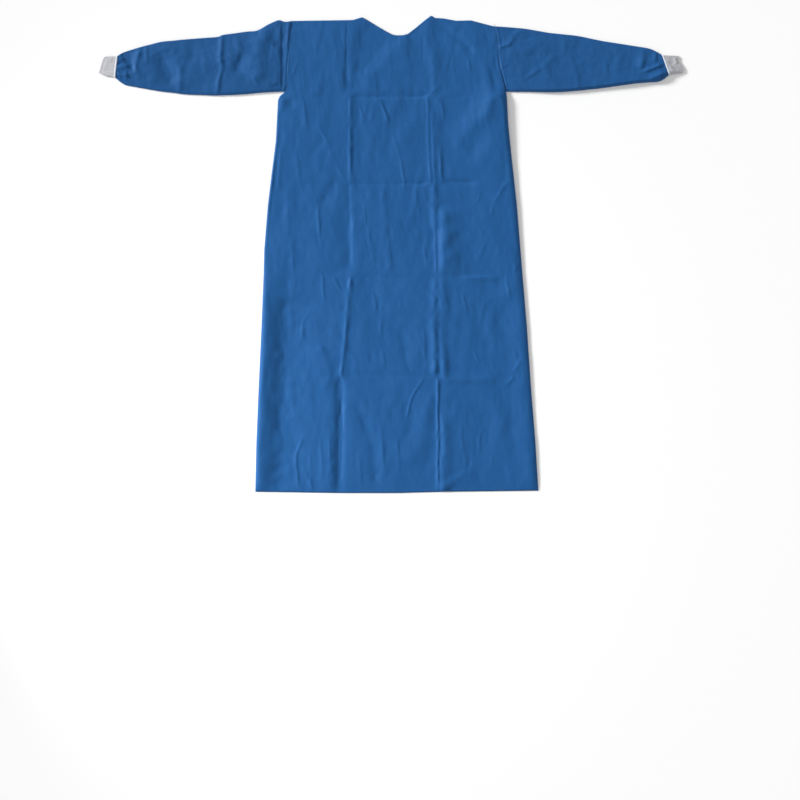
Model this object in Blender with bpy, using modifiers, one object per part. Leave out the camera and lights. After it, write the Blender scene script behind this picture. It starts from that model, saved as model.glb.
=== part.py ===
"""Isolation gown of thin nonwoven cloth, laid flat on its back with its front up.

The gown lies in the XY plane: +X is the wearer's left, +Y points to the neck and +Z is up from
the surface that it lies on. Tables give places on the gown as x, measured from its centre line,
and height, measured up from the hem. Each panel is the lower face of its cloth, thickened upwards;
each sleeve and cuff is a flattened tube, thickened inwards.
"""

import bpy
import numpy as np

# Main sizes, in metres
LENGTH = 1.200  # from the hem to the higher neck point
CENTRE_LINE_X = 0.0126  # the sleeves lie unevenly, so the centre line isn't the middle of the span
CLOTH = 0.0012
SEAM_GAP = 0.0003
LOFT = 0.0023  # how far the front stands off the back, well inside its edges
EDGE_ROLL = 0.030  # the distance over which the front rises from an edge
ROUNDED_SHARE = 0.15  # a tube's folds and gathers fade out over this share of it beside its edges

# Front and back lie on each other: the back's underside is on the surface
FRONT_BASE = CLOTH + SEAM_GAP
FOLDED_EDGE = 2 * CLOTH + SEAM_GAP  # thickness of a flattened tube at its two folded edges

# Ties: flat straps that lie between the surface and the back panels
TIE_WIDTH = 0.010
TIE_THICKNESS = 0.0010
TIE_LIFT = TIE_THICKNESS + SEAM_GAP
KNOT_CENTRE = (0.011, 0.738)
KNOT_SIZE = (0.026, 0.030, 0.0028)

UNDERARM = 1.0077
YOKE = 1.118  # the last straight row of points below the neckline


def table(names, rows):
    """Turns a table's rows into one array of values for each named column."""
    return dict(zip(names.split(), np.array(rows, dtype=float).T))


# The body's side edges, and above the underarm the two armhole seams
SIDES = table("height right left", (
    (0.0000, -0.3552, 0.3561),
    (0.1282, -0.3523, 0.3483),
    (0.2588, -0.3468, 0.3377),
    (0.4197, -0.3393, 0.3269),
    (0.5503, -0.3340, 0.3159),
    (0.6107, -0.3325, 0.3111),
    (0.7212, -0.3237, 0.3021),
    (0.8042, -0.3136, 0.2933),
    (0.8444, -0.3084, 0.2887),
    (0.8846, -0.3033, 0.2847),
    (0.9248, -0.3013, 0.2807),
    (0.9876, -0.2980, 0.2774),
    (0.9977, -0.2930, 0.2767),
    (1.0077, -0.2795, 0.2749),
    (1.0346, -0.2776, 0.2689),
    (1.0665, -0.2752, 0.2609),
    (1.1032, -0.2725, 0.2548),
    (1.1346, -0.2700, 0.2548),
    (1.1728, -0.2668, 0.2468),
    (1.1861, -0.2654, 0.2468),
))

# Shoulders and neckline, from the wearer's right armhole to the left one
TOP = table("x height", (
    (-0.2654, 1.1861),
    (-0.1297, 1.1881),
    (-0.1096, 1.1886),
    (-0.0885, 1.1952),
    (-0.0827, 1.1937),
    (-0.0538, 1.1756),
    (-0.0269, 1.1600),
    (-0.0116, 1.1520),
    (0.0000, 1.1495),
    (0.0173, 1.1502),
    (0.0289, 1.1535),
    (0.0500, 1.1698),
    (0.0691, 1.1861),
    (0.0875, 1.2000),
    (0.0962, 1.1937),
    (0.1174, 1.1926),
    (0.1500, 1.1866),
    (0.1867, 1.1876),
    (0.2428, 1.1728),
    (0.2468, 1.1730),
))

# The front's hem dips a little towards its middle
HEM = table("x height", (
    (-0.3552, 0.0030),
    (-0.1437, 0.0000),
    (0.0035, 0.0000),
    (0.1103, 0.0030),
    (0.3561, 0.0060),
))

# The two long packing creases: where each lies, and its ridge (or trough, below zero)
LONG_CREASES = table("height right left right_rise left_rise", (
    (0.000, -0.1463, 0.1040, -0.0009, -0.0008),
    (0.140, -0.1410, 0.1000, -0.0010, -0.0007),
    (0.277, -0.1357, 0.0990, -0.0008, -0.0008),
    (0.297, -0.1385, 0.1010, 0.0014, 0.0012),
    (0.392, -0.1290, 0.0915, 0.0013, 0.0009),
    (0.500, -0.1200, 0.1050, 0.0011, 0.0010),
    (0.532, -0.1171, 0.1100, 0.0008, 0.0011),
    (0.552, -0.1171, 0.1053, -0.0008, 0.0014),
    (0.680, -0.1150, 0.1010, -0.0010, 0.0015),
    (0.768, -0.1146, 0.0952, -0.0007, 0.0011),
    (0.788, -0.1146, 0.0952, 0.0012, 0.0010),
    (0.900, -0.1165, 0.0860, 0.0013, 0.0009),
    (0.987, -0.1171, 0.0802, 0.0010, 0.0008),
    (1.006, -0.1171, 0.0802, -0.0004, 0.0010),
    (1.118, -0.1196, 0.0850, -0.0006, 0.0008),
    (1.200, -0.1259, 0.0875, -0.0004, 0.0004),
))
LONG_CREASE_WIDTH = 0.006
SECOND_LINE = 0.011  # the left crease is doubled this far to its side over the chest
SECOND_LINE_SPAN = (0.55, 1.00)
SECOND_LINE_FADE = 0.05
SECOND_LINE_SHARE = 0.7  # its rise, as a share of the first line's

# The front's grid: rows, steps of the columns beside a long crease or an edge, and shares between
PLAIN_LEVELS = (
    0.025, 0.06, 0.10, 0.14, 0.185, 0.235, 0.33, 0.375, 0.42, 0.465, 0.505, 0.585, 0.63, 0.675,
    0.7212, 0.8042, 0.8444, 0.8846, 0.9248, 0.96, 0.9876, 1.0077, 1.0346, 1.0665, 1.1032, YOKE,
)
CREASE_STEPS = (-0.009, -0.003, 0.0, 0.003, 0.009)
CROSS_CREASE_STEPS = (-0.0055, 0.0, 0.0055)
EDGE_STEPS = (0.0, 0.006, 0.018)
OUTER_SHARES = (0.20, 0.38, 0.56, 0.74)
NECK_SPAN = (-0.11, 0.08)  # the points of the top outline that have a column between the creases
TOP_SHARES = (0.35, 0.7, 1.0)

# The packing creases across the body
CROSS_CREASES = table("height rise", (
    (0.2865, 0.0009),
    (0.5415, 0.0008),
    (0.7778, 0.0010),
    (0.9965, 0.0008),
))
CROSS_CREASE_WIDTH = 0.005

# Softer folds of the front: a line from start to end, its rise and half width
FRONT_FOLDS = table("x height x_end height_end rise width", (
    (0.0990, 1.1830, 0.1900, 1.1190, 0.0014, 0.010),
    (-0.1000, 1.1350, -0.0850, 1.0500, 0.0010, 0.018),
    (-0.2750, 0.9700, -0.2300, 1.0200, 0.0012, 0.016),
    (-0.2850, 0.8500, -0.2400, 0.8250, 0.0014, 0.018),
    (-0.2450, 0.1200, -0.1950, 0.0100, 0.0016, 0.013),
    (-0.2200, 0.1000, -0.1650, 0.0050, 0.0012, 0.011),
    (0.0250, 0.2350, 0.0650, 0.2850, 0.0010, 0.008),
    (0.1150, 0.0080, 0.1600, 0.0500, 0.0012, 0.010),
    (0.2500, 0.9400, 0.1500, 0.8300, 0.0012, 0.020),
    (0.2900, 0.7000, 0.2450, 0.7700, 0.0011, 0.014),
    (-0.0250, 0.7500, 0.0050, 0.5600, 0.0009, 0.012),
    (-0.0400, 0.9700, -0.0100, 0.8900, 0.0010, 0.009),
    (0.3050, 0.3000, 0.2900, 0.4900, 0.0010, 0.014),
    (-0.3100, 0.3000, -0.3150, 0.5000, 0.0010, 0.014),
))

# The free centre-back edges of the two back panels
BACK_EDGES = table("height right left", (
    (0.000, -0.0940, 0.0989),
    (0.255, -0.0725, 0.0816),
    (0.345, -0.0690, 0.0773),
    (0.508, -0.0615, 0.0640),
    (0.680, -0.0475, 0.0518),
    (0.766, -0.0384, 0.0430),
    (0.911, -0.0255, 0.0300),
    (1.057, -0.0110, 0.0130),
    (1.152, -0.0035, 0.0015),
))
BACK_HEM = 0.0080  # the back hems end just above the front's, so they don't show past it
BACK_LEVELS = (
    BACK_HEM, 0.04, 0.075, 0.125, 0.19, 0.255, 0.345, 0.42, 0.508, 0.61, 0.68, 0.735, 0.775, 0.83,
    0.8846, 0.9248, 0.9876, 0.9977, 1.0077, 1.0346, 1.0665, 1.1032, YOKE,
)
BACK_TOP_SHARES = (0.5, 1.0)
FIRST_BACK_COLUMN = 0.008  # the least step from a free edge to the next column, at the neckline

# The stretch of the back panels that the ties lift, and how fast it falls away
LIFTED_HEIGHTS = (0.075, 0.125, 0.775, 0.830)
LIFTED_HALF_WIDTHS = (0.150, 0.200)

# Sleeves from the armhole to the wrist: the upper and the lower edge at each section
SLEEVE_COLUMNS = "x_top top x_low low"
SLEEVE_RIGHT = table(SLEEVE_COLUMNS, (
    (-0.2654, 1.1855, -0.2795, 1.0082),
    (-0.2810, 1.1840, -0.2900, 1.0080),
    (-0.2955, 1.1879, -0.3030, 1.0076),
    (-0.3100, 1.1830, -0.3140, 1.0071),
    (-0.3250, 1.1758, -0.3250, 1.0065),
    (-0.3506, 1.1618, -0.3500, 1.0047),
    (-0.3760, 1.1592, -0.3770, 1.0020),
    (-0.4100, 1.1545, -0.4100, 1.0000),
    (-0.4370, 1.1507, -0.4370, 0.9990),
    (-0.4500, 1.1459, -0.4550, 0.9985),
    (-0.4900, 1.1428, -0.4920, 0.9998),
    (-0.5330, 1.1394, -0.5330, 1.0016),
    (-0.5620, 1.1365, -0.5620, 1.0055),
    (-0.5910, 1.1336, -0.5910, 1.0087),
    (-0.6170, 1.1272, -0.6170, 1.0130),
    (-0.6420, 1.1208, -0.6420, 1.0173),
    (-0.6640, 1.1141, -0.6640, 1.0214),
    (-0.6800, 1.1090, -0.6820, 1.0250),
    (-0.6920, 1.1040, -0.6960, 1.0340),
    (-0.7000, 1.0985, -0.7062, 1.0430),
))
SLEEVE_LEFT = table(SLEEVE_COLUMNS, (
    (0.2468, 1.1725, 0.2749, 1.0082),
    (0.2640, 1.1714, 0.2850, 1.0080),
    (0.2830, 1.1700, 0.2970, 1.0077),
    (0.3214, 1.1665, 0.3264, 1.0077),
    (0.3520, 1.1615, 0.3560, 1.0070),
    (0.3830, 1.1562, 0.3850, 1.0065),
    (0.4190, 1.1523, 0.4200, 1.0076),
    (0.4550, 1.1482, 0.4520, 1.0102),
    (0.4870, 1.1417, 0.4840, 1.0135),
    (0.5194, 1.1351, 0.5160, 1.0170),
    (0.5480, 1.1306, 0.5483, 1.0215),
    (0.5750, 1.1264, 0.5800, 1.0258),
    (0.5984, 1.1226, 0.6040, 1.0290),
    (0.6300, 1.1175, 0.6370, 1.0316),
    (0.6450, 1.1125, 0.6560, 1.0330),
    (0.6560, 1.1065, 0.6700, 1.0385),
    (0.6654, 1.1005, 0.6830, 1.0490),
))
FOLD_COLUMNS = "x height x_end height_end rise width"
RIGHT_SLEEVE_FOLDS = table(FOLD_COLUMNS, (
    (-0.2860, 1.1650, -0.2920, 1.0150, 0.0018, 0.009),
    (-0.3250, 1.1550, -0.4000, 1.0450, 0.0018, 0.020),
    (-0.4420, 1.1450, -0.4600, 1.0050, 0.0022, 0.012),
    (-0.5350, 1.1050, -0.5480, 1.0080, 0.0014, 0.012),
    (-0.6350, 1.1150, -0.6280, 1.0700, 0.0018, 0.012),
    (-0.3300, 1.0150, -0.3900, 1.0850, 0.0014, 0.016),
))
LEFT_SLEEVE_FOLDS = table(FOLD_COLUMNS, (
    (0.2560, 1.1500, 0.3050, 1.1400, 0.0017, 0.012),
    (0.2580, 1.0950, 0.3000, 1.1300, 0.0015, 0.012),
    (0.3200, 1.0300, 0.3900, 1.0750, 0.0015, 0.014),
    (0.4500, 1.1400, 0.4450, 1.0200, 0.0013, 0.014),
    (0.5950, 1.1150, 0.6100, 1.0650, 0.0018, 0.012),
))

BOWED_SECTIONS = 3  # the sections over which a sleeve takes up the curve of its armhole seam
PLAIN_SECTIONS = 2  # the sections over which its folds grow from nothing at that seam

# Gathers of the sleeves at the wrist, as waves across it that die out along the sleeve
GATHERS = 4
GATHER_RISE = 0.0022
GATHER_REACH = 0.045
GATHER_PHASE = 0.6
SLEEVE_ACROSS = 17  # points over the top of a sleeve
SLEEVE_UNDER = 7
CUFF_ACROSS = 11
CUFF_UNDER = 6

# Cuffs beyond the wrist seam; reach is how far a section bows out beyond its two corners
CUFF_COLUMNS = "x_top top x_low low reach"
CUFF_RIGHT = table(CUFF_COLUMNS, (
    (-0.7080, 1.0975, -0.7120, 1.0450, 0.0030),
    (-0.7160, 1.0976, -0.7180, 1.0458, 0.0080),
    (-0.7250, 1.0972, -0.7240, 1.0462, 0.0130),
    (-0.7320, 1.0965, -0.7288, 1.0466, 0.0181),
))
CUFF_LEFT = table(CUFF_COLUMNS, (
    (0.6760, 1.0995, 0.6920, 1.0510, 0.0010),
    (0.6860, 1.0992, 0.7000, 1.0525, 0.0040),
    (0.6960, 1.0990, 0.7090, 1.0540, 0.0060),
    (0.7054, 1.0985, 0.7172, 1.0552, 0.0080),
))
CUFF_WALL = 0.0016
WRIST_GAP = 0.0005  # along x; square to the slanting wrist seam it is SEAM_GAP or more
CUFF_BOW_AT = 0.72  # the share of the way from the upper to the lower edge where the end reaches furthest
CUFF_WAVES = 3
CUFF_WAVE_RISE = 0.0005
CUFF_WAVE_TURN = 1.2  # how far the waves shift from one section to the next, in radians
CUFF_SWELL = 2 * (CUFF_WALL - CLOTH) + 0.0008  # how much thicker a cuff is than a flattened sleeve

# Routes of the ties, as x and height: the sewn straps, then the free ends beyond the knot
LEFT_STRAP = ((0.072, 0.747), (0.058, 0.7475), (0.042, 0.748), (0.0245, 0.7480))
RIGHT_STRAP = ((-0.065, 0.747), (-0.048, 0.7475), (-0.028, 0.748), (-0.0025, 0.7480))
LEFT_TIE = (
    (0.0245, 0.7300), (0.0450, 0.7300), (0.0690, 0.7200), (0.0870, 0.6930), (0.1000, 0.6550),
    (0.1085, 0.6150), (0.1135, 0.5700), (0.1120, 0.5250), (0.1060, 0.4800), (0.0950, 0.4300),
    (0.0770, 0.3730), (0.0570, 0.3180), (0.0355, 0.2900), (0.0060, 0.2750), (-0.0320, 0.2630),
    (-0.0720, 0.2560),
)
RIGHT_TIE = (
    (-0.0025, 0.7300), (-0.0230, 0.7330), (-0.0470, 0.7290), (-0.0690, 0.7090), (-0.0800, 0.6700),
    (-0.0805, 0.6300), (-0.0730, 0.5800), (-0.0600, 0.5350), (-0.0475, 0.4950), (-0.0270, 0.4260),
    (-0.0020, 0.3600), (0.0230, 0.3050), (0.0360, 0.2820), (0.0500, 0.2420), (0.0590, 0.2050),
    (0.0580, 0.1750), (0.0480, 0.1540),
)
TIE_CROSSING = (0.0320, 0.2880)
CROSSING_REACH = 0.022  # half of the hump with which one tie passes over the other
TIE_POINTS = 44
STRAP_POINTS = 6
ROUTE_STEPS = 12  # steps of the smooth curve between two points of a route
KNOT_LOBES = 4
KNOT_LOBE_SHARE = 0.05

CLOTH_BLUE = (0.026, 0.115, 0.330)
TIE_BLUE = (0.030, 0.125, 0.345)
KNIT_WHITE = (0.610, 0.615, 0.650)


def side(height, which):
    """The x of a side edge or armhole seam at a height."""
    return np.interp(height, SIDES["height"], SIDES[which])


def top(x):
    """The height of the shoulder or neckline at an x."""
    return np.interp(x, TOP["x"], TOP["height"])


def rise_from_edge(distance):
    """Goes from 0 at an edge to 1 well inside it, steep at first."""
    return 1 - np.exp(-np.maximum(distance, 0) / EDGE_ROLL)


def bell(distance, width):
    """Goes from 1 on a crease's line to nothing beside it."""
    return np.exp(-((distance / width) ** 2))


def fold_rise(x, height, folds):
    """The height of a table's folds at each point.

    Each fold is its rise times a bell curve of the distance to its line."""
    total = np.zeros_like(x)
    for x0, y0, x1, y1, rise, width in zip(*(folds[name] for name in FOLD_COLUMNS.split())):
        along_x, along_y = x1 - x0, y1 - y0
        share = ((x - x0) * along_x + (height - y0) * along_y) / (along_x**2 + along_y**2)
        share = np.clip(share, 0, 1)
        distance = np.hypot(x - x0 - share * along_x, height - y0 - share * along_y)
        total += rise * bell(distance, width)
    return total


def along_crease(height, column):
    """A column of the long creases' table, at each height."""
    return np.interp(height, LONG_CREASES["height"], LONG_CREASES[column])


def crease_rise(x, height):
    """The height of the packing creases: a bell curve across each crease's line."""
    from_right = x - along_crease(height, "right")
    from_left = x - along_crease(height, "left")
    low, high = SECOND_LINE_SPAN
    doubled = np.clip(np.minimum(height - low, high - height) / SECOND_LINE_FADE, 0, 1)
    second = SECOND_LINE_SHARE * doubled * bell(from_left - SECOND_LINE, LONG_CREASE_WIDTH)
    total = along_crease(height, "right_rise") * bell(from_right, LONG_CREASE_WIDTH)
    total += along_crease(height, "left_rise") * (bell(from_left, LONG_CREASE_WIDTH) + second)
    for level, rise in zip(CROSS_CREASES["height"], CROSS_CREASES["rise"]):
        total += rise * bell(height - level, CROSS_CREASE_WIDTH)
    return total


def front_loft(x, height):
    """How far the front stands off the back: nothing at the side, shoulder and hem edges."""
    above_underarm = np.maximum(height - UNDERARM, 0)
    from_right = np.hypot(x - side(height, "right"), above_underarm)
    from_left = np.hypot(side(height, "left") - x, above_underarm)
    shares = [rise_from_edge(d) for d in (from_right, from_left, top(x) - height, height)]
    return LOFT * np.prod(shares, axis=0)


def front_points():
    """The grid of points of the front's lower face, row by row from the hem to the shoulders.

    Columns keep their share of the way between the side edges and the two long creases, with a
    few at fixed steps beside each of these. The rows above the yoke close up to the neckline."""
    neck_start, neck_end = LONG_CREASES["right"][-1], LONG_CREASES["left"][-1]
    neck = [x for x in TOP["x"] if NECK_SPAN[0] < x < NECK_SPAN[1]]
    beside_second_line = tuple(SECOND_LINE + step for step in CREASE_STEPS[3:])
    columns = [(0, 0.0, step) for step in EDGE_STEPS]
    columns += [(0, share, 0.0) for share in OUTER_SHARES]
    columns += [(1, 0.0, step) for step in CREASE_STEPS]
    columns += [(1, (x - neck_start) / (neck_end - neck_start), 0.0) for x in neck]
    columns += [(2, 0.0, step) for step in CREASE_STEPS + beside_second_line]
    columns += [(2, 1 - share, 0.0) for share in reversed(OUTER_SHARES)]
    columns += [(3, 0.0, -step) for step in reversed(EDGE_STEPS)]
    crossed = [level + step for level in CROSS_CREASES["height"] for step in CROSS_CREASE_STEPS]
    levels = sorted(PLAIN_LEVELS + tuple(crossed))

    def row(height, top_share=0.0):
        marks = [side(height, "right"), along_crease(height, "right"),
                 along_crease(height, "left"), side(height, "left")]
        ends = [TOP["x"][0], neck_start, neck_end, TOP["x"][-1]]
        marks = [(1 - top_share) * mark + top_share * end for mark, end in zip(marks, ends)]
        widths = np.append(np.diff(marks), 0.0)
        return np.array([marks[mark] + share * widths[mark] + step for mark, share, step in columns])

    hem_x = row(0.0)
    rows = [(hem_x, np.interp(hem_x, HEM["x"], HEM["height"]))]
    rows += [(row(level), np.full(len(columns), level)) for level in levels]
    top_height = top(row(YOKE, 1.0))
    for share in TOP_SHARES:
        rows.append((row(YOKE, share), YOKE + share * (top_height - YOKE)))
    x = np.array([x for x, _ in rows])
    height = np.array([height for _, height in rows])
    z = FRONT_BASE + front_loft(x, height)
    inside = rise_from_edge(2 * np.minimum(top(x) - height, height))
    z += inside * (crease_rise(x, height) + fold_rise(x, height, FRONT_FOLDS))
    return np.stack([x, height, np.maximum(z, FRONT_BASE)], axis=-1)


def back_points(which):
    """The grid of points of a back panel's underside, from its hem to the shoulder.

    Columns share out the width between the free centre-back edge and the side edge, as the
    points of the neckline and shoulder do at the top. The ties lift the middle of the panel."""
    sign = 1 if which == "left" else -1
    free_edge_top = BACK_EDGES[which][-1]
    side_top = TOP["x"][-1 if which == "left" else 0]
    first = sign * free_edge_top + FIRST_BACK_COLUMN
    along_top = [x for x in TOP["x"] if first < sign * x < sign * side_top]
    shares = np.array([free_edge_top, *along_top, side_top])
    shares = np.sort((shares - free_edge_top) / (side_top - free_edge_top))

    def row(height, top_share=0.0):
        start = np.interp(height, BACK_EDGES["height"], BACK_EDGES[which])
        end = side(height, which)
        start = (1 - top_share) * start + top_share * free_edge_top
        end = (1 - top_share) * end + top_share * side_top
        return start + shares * (end - start)

    rows = [(row(level), np.full(len(shares), level)) for level in BACK_LEVELS]
    top_height = top(row(YOKE, 1.0))
    for share in BACK_TOP_SHARES:
        rows.append((row(YOKE, share), YOKE + share * (top_height - YOKE)))
    x = np.array([x for x, _ in rows])
    height = np.array([height for _, height in rows])
    low, low_full, high_full, high = LIFTED_HEIGHTS
    full, none = LIFTED_HALF_WIDTHS
    lift = TIE_LIFT * np.interp(height, (low, low_full, high_full, high), (0, 1, 1, 0))
    lift *= np.interp(np.abs(x), (full, none), (1, 0))
    return np.stack([x, height, lift], axis=-1)[:, ::sign]


def flat_tube(sections, crown, across_x, across, under):
    """Rings of a flattened tube: flat beneath, crowned above, with a rounded fold at each edge.

    A ring goes over the top from its upper to its lower edge, then back beneath. crown gives the
    height of the top face at each of the ring's upper points and across_x the x of its points."""
    fold = FOLDED_EDGE / 2
    even = np.linspace(0, 1, across)
    over = 0.5 * even + 0.25 * (1 - np.cos(np.pi * even))
    beneath = np.linspace(1, 0, under)
    rings = []
    for index in range(len(sections["top"])):
        top_h, low_h = sections["top"][index], sections["low"][index]
        inner_top, inner_low = top_h - fold, low_h + fold
        heights = np.concatenate([
            [top_h], inner_top + over * (inner_low - inner_top),
            [low_h], inner_top + beneath * (inner_low - inner_top)])
        share = (top_h - heights) / (top_h - low_h)
        x = across_x(index, share, heights)
        z = np.concatenate([
            [fold], crown(index, x[1:across + 1], heights[1:across + 1]), [fold], np.zeros(under)])
        rings.append(np.stack([x, heights, z], axis=-1))
    return np.array(rings)


def chord_x(sections, index, share):
    """The x on the straight line from a section's upper edge to its lower one."""
    x_top, x_low = sections["x_top"][index], sections["x_low"][index]
    return x_top + share * (x_low - x_top)


def sleeve_points(which, sections, folds):
    """The rings of a sleeve's outer face, from just off the armhole seam to the wrist."""
    sign = 1 if which == "left" else -1
    wrist = (sections["x_top"][-1] + sections["x_low"][-1]) / 2

    def across_x(index, share, heights):
        seam = side(heights, which) + sign * SEAM_GAP
        bow = (seam - chord_x(sections, 0, share)) * max(0.0, 1 - index / BOWED_SECTIONS)
        return chord_x(sections, index, share) + bow

    def crown(index, x, heights):
        top_h, low_h = sections["top"][index], sections["low"][index]
        loft = LOFT * rise_from_edge(top_h - heights) * rise_from_edge(heights - low_h)
        share = (top_h - heights) / (top_h - low_h)
        inside = np.clip(np.minimum(share, 1 - share) / ROUNDED_SHARE, 0, 1)
        inside = inside * min(1.0, index / PLAIN_SECTIONS)
        near_wrist = np.exp(-np.abs(x - wrist) / GATHER_REACH)
        turn = 2 * np.pi * GATHERS * share + GATHER_PHASE
        waves = GATHER_RISE * near_wrist * (0.5 + 0.5 * np.cos(turn))
        return FOLDED_EDGE + loft + inside * (fold_rise(x, heights, folds) + waves)

    return flat_tube(sections, crown, across_x, SLEEVE_ACROSS, SLEEVE_UNDER)


def cuff_points(sleeve, cuff):
    """The rings of a cuff's outer face, from its sleeve's last section to its bowed open end."""
    sign = np.sign(cuff["x_top"][0])
    seam = {"x_top": sleeve["x_top"][-1] + sign * WRIST_GAP, "top": sleeve["top"][-1],
            "x_low": sleeve["x_low"][-1] + sign * WRIST_GAP, "low": sleeve["low"][-1], "reach": 0.0}
    sections = {name: np.append(seam[name], cuff[name]) for name in CUFF_COLUMNS.split()}

    def across_x(index, share, heights):
        bow = np.interp(share, (0, CUFF_BOW_AT, 1), (0, 1, 0))
        return chord_x(sections, index, share) + sign * sections["reach"][index] * bow

    def crown(index, x, heights):
        share = (sections["top"][index] - heights) / (sections["top"][index] - sections["low"][index])
        swell = np.sqrt(np.sin(np.pi * share))
        waves = CUFF_WAVE_RISE * np.cos(2 * np.pi * CUFF_WAVES * share + CUFF_WAVE_TURN * index)
        return FOLDED_EDGE + swell * (CUFF_SWELL + waves)

    return flat_tube(sections, crown, across_x, CUFF_ACROSS, CUFF_UNDER)


def smooth_route(points, count):
    """A Catmull-Rom curve through a route's points, read at equal steps of its length."""
    points = np.array(points, dtype=float)
    ends = np.vstack([2 * points[0] - points[1], points, 2 * points[-1] - points[-2]])
    t = np.linspace(0, 1, ROUTE_STEPS, endpoint=False)[:, None]
    pieces = []
    for a, b, c, d in zip(ends, ends[1:], ends[2:], ends[3:]):
        pieces.append(0.5 * (2 * b + (c - a) * t + (2 * a - 5 * b + 4 * c - d) * t**2
                             + (3 * b - a - 3 * c + d) * t**3))
    dense = np.vstack(pieces + [points[-1:]])
    length = np.concatenate([[0], np.cumsum(np.linalg.norm(np.diff(dense, axis=0), axis=1))])
    steps = np.linspace(0, length[-1], count)
    return np.stack([np.interp(steps, length, dense[:, axis]) for axis in (0, 1)], axis=-1)


def strap_points(route, count, over=None):
    """The grid of a strap's underside: three points across its width at each step of its route.

    Near the place given by over it rises in a smooth hump, to pass over another strap."""
    middle = smooth_route(route, count)
    direction = np.gradient(middle, axis=0)
    direction /= np.linalg.norm(direction, axis=1)[:, None]
    across = np.stack([-direction[:, 1], direction[:, 0]], axis=-1)
    z = np.zeros(count)
    if over is not None:
        near = np.linalg.norm(middle - np.array(over), axis=1)
        z = (TIE_THICKNESS + SEAM_GAP) * np.clip((2 * CROSSING_REACH - near) / CROSSING_REACH, 0, 1)
    lanes = [middle - side_step * across * TIE_WIDTH / 2 for side_step in (-1, 0, 1)]
    grid = np.stack(lanes, axis=1)
    height = np.repeat(z[:, None], 3, axis=1)
    return np.concatenate([grid, height[:, :, None]], axis=-1)


def on_surface(points):
    """Moves points from the gown's own x and height to the part's frame."""
    return np.asarray(points) + np.array([CENTRE_LINE_X, -LENGTH / 2, 0.0])


def material(name, colour, roughness):
    made = bpy.data.materials.new(name)
    made.use_nodes = True
    shader = made.node_tree.nodes["Principled BSDF"]
    shader.inputs["Base Color"].default_value = (*colour, 1)
    shader.inputs["Roughness"].default_value = roughness
    shader.inputs["Metallic"].default_value = 0.0
    made.diffuse_color = (*colour, 1)
    return made


def add_piece(collection, name, mesh, colour, roughness):
    piece = bpy.data.objects.new(name, mesh)
    mesh.materials.append(material(name + "_cloth", colour, roughness))
    collection.objects.link(piece)
    return piece


def add_cloth(collection, name, points, wall, outwards, closed=False, colour=CLOTH_BLUE, roughness=0.6):
    """Makes a sheet, or a tube where closed, from a grid of points and gives it a wall."""
    rows, columns = points.shape[:2]
    start, step = np.meshgrid(np.arange(rows - 1), np.arange(columns - (not closed)), indexing="ij")
    beside = (step + 1) % columns
    corners = [start * columns + step, start * columns + beside,
               (start + 1) * columns + beside, (start + 1) * columns + step]
    faces = np.stack(corners, axis=-1).reshape(-1, 4)
    mesh = bpy.data.meshes.new(name)
    mesh.from_pydata(on_surface(points).reshape(-1, 3).tolist(), [], faces.tolist())
    mesh.update()
    mesh.shade_smooth()
    piece = add_piece(collection, name, mesh, colour, roughness)
    solidify = piece.modifiers.new("Wall", "SOLIDIFY")
    solidify.thickness = wall
    solidify.offset = 1.0 if outwards else -1.0
    solidify.use_even_offset = True
    return piece


def add_knot(collection):
    """The pulled knot: a lump as flat as the gown presses it, resting on the surface."""
    bpy.ops.mesh.primitive_uv_sphere_add(segments=20, ring_count=10, radius=0.5)
    knot = bpy.context.object
    knot.name = "tie_knot"
    knot.data.name = "tie_knot"
    size = np.array(KNOT_SIZE)
    centre = on_surface((*KNOT_CENTRE, KNOT_SIZE[2] / 2))
    count = len(knot.data.vertices)
    flat = np.empty(count * 3)
    knot.data.vertices.foreach_get("co", flat)
    places = flat.reshape(-1, 3) * size
    turn = np.arctan2(places[:, 1], places[:, 0])
    places[:, :2] *= (1 + KNOT_LOBE_SHARE * np.cos(KNOT_LOBES * turn))[:, None]
    knot.data.vertices.foreach_set("co", (places + centre).ravel())
    knot.data.update()
    knot.data.shade_smooth()
    knot.data.materials.append(material("tie_knot_cloth", TIE_BLUE, 0.6))
    for holder in list(knot.users_collection):
        holder.objects.unlink(knot)
    collection.objects.link(knot)


def build():
    for old in list(bpy.data.objects):
        bpy.data.objects.remove(old, do_unlink=True)
    gown = bpy.data.collections.new("isolation_gown")
    bpy.context.scene.collection.children.link(gown)

    add_cloth(gown, "front_panel", front_points(), CLOTH, outwards=True)
    for which, sections, folds in (("left", SLEEVE_LEFT, LEFT_SLEEVE_FOLDS),
                                   ("right", SLEEVE_RIGHT, RIGHT_SLEEVE_FOLDS)):
        add_cloth(gown, "back_panel_" + which, back_points(which), CLOTH, outwards=True)
        rings = sleeve_points(which, sections, folds)
        if which == "right":
            rings = rings[:, ::-1]
        add_cloth(gown, "sleeve_" + which, rings, CLOTH, outwards=False, closed=True)
    for which, sleeve, cuff in (("left", SLEEVE_LEFT, CUFF_LEFT), ("right", SLEEVE_RIGHT, CUFF_RIGHT)):
        rings = cuff_points(sleeve, cuff)
        if which == "right":
            rings = rings[:, ::-1]
        add_cloth(gown, "cuff_" + which, rings, CUFF_WALL, outwards=False, closed=True,
                  colour=KNIT_WHITE, roughness=0.9)
    for name, route, count, over in (
            ("tie_left_strap", LEFT_STRAP, STRAP_POINTS, None),
            ("tie_right_strap", RIGHT_STRAP, STRAP_POINTS, None),
            ("tie_left_end", LEFT_TIE, TIE_POINTS, None),
            ("tie_right_end", RIGHT_TIE, TIE_POINTS, TIE_CROSSING)):
        add_cloth(gown, name, strap_points(route, count, over), TIE_THICKNESS, outwards=True,
                  colour=TIE_BLUE)
    add_knot(gown)


build()
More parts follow.
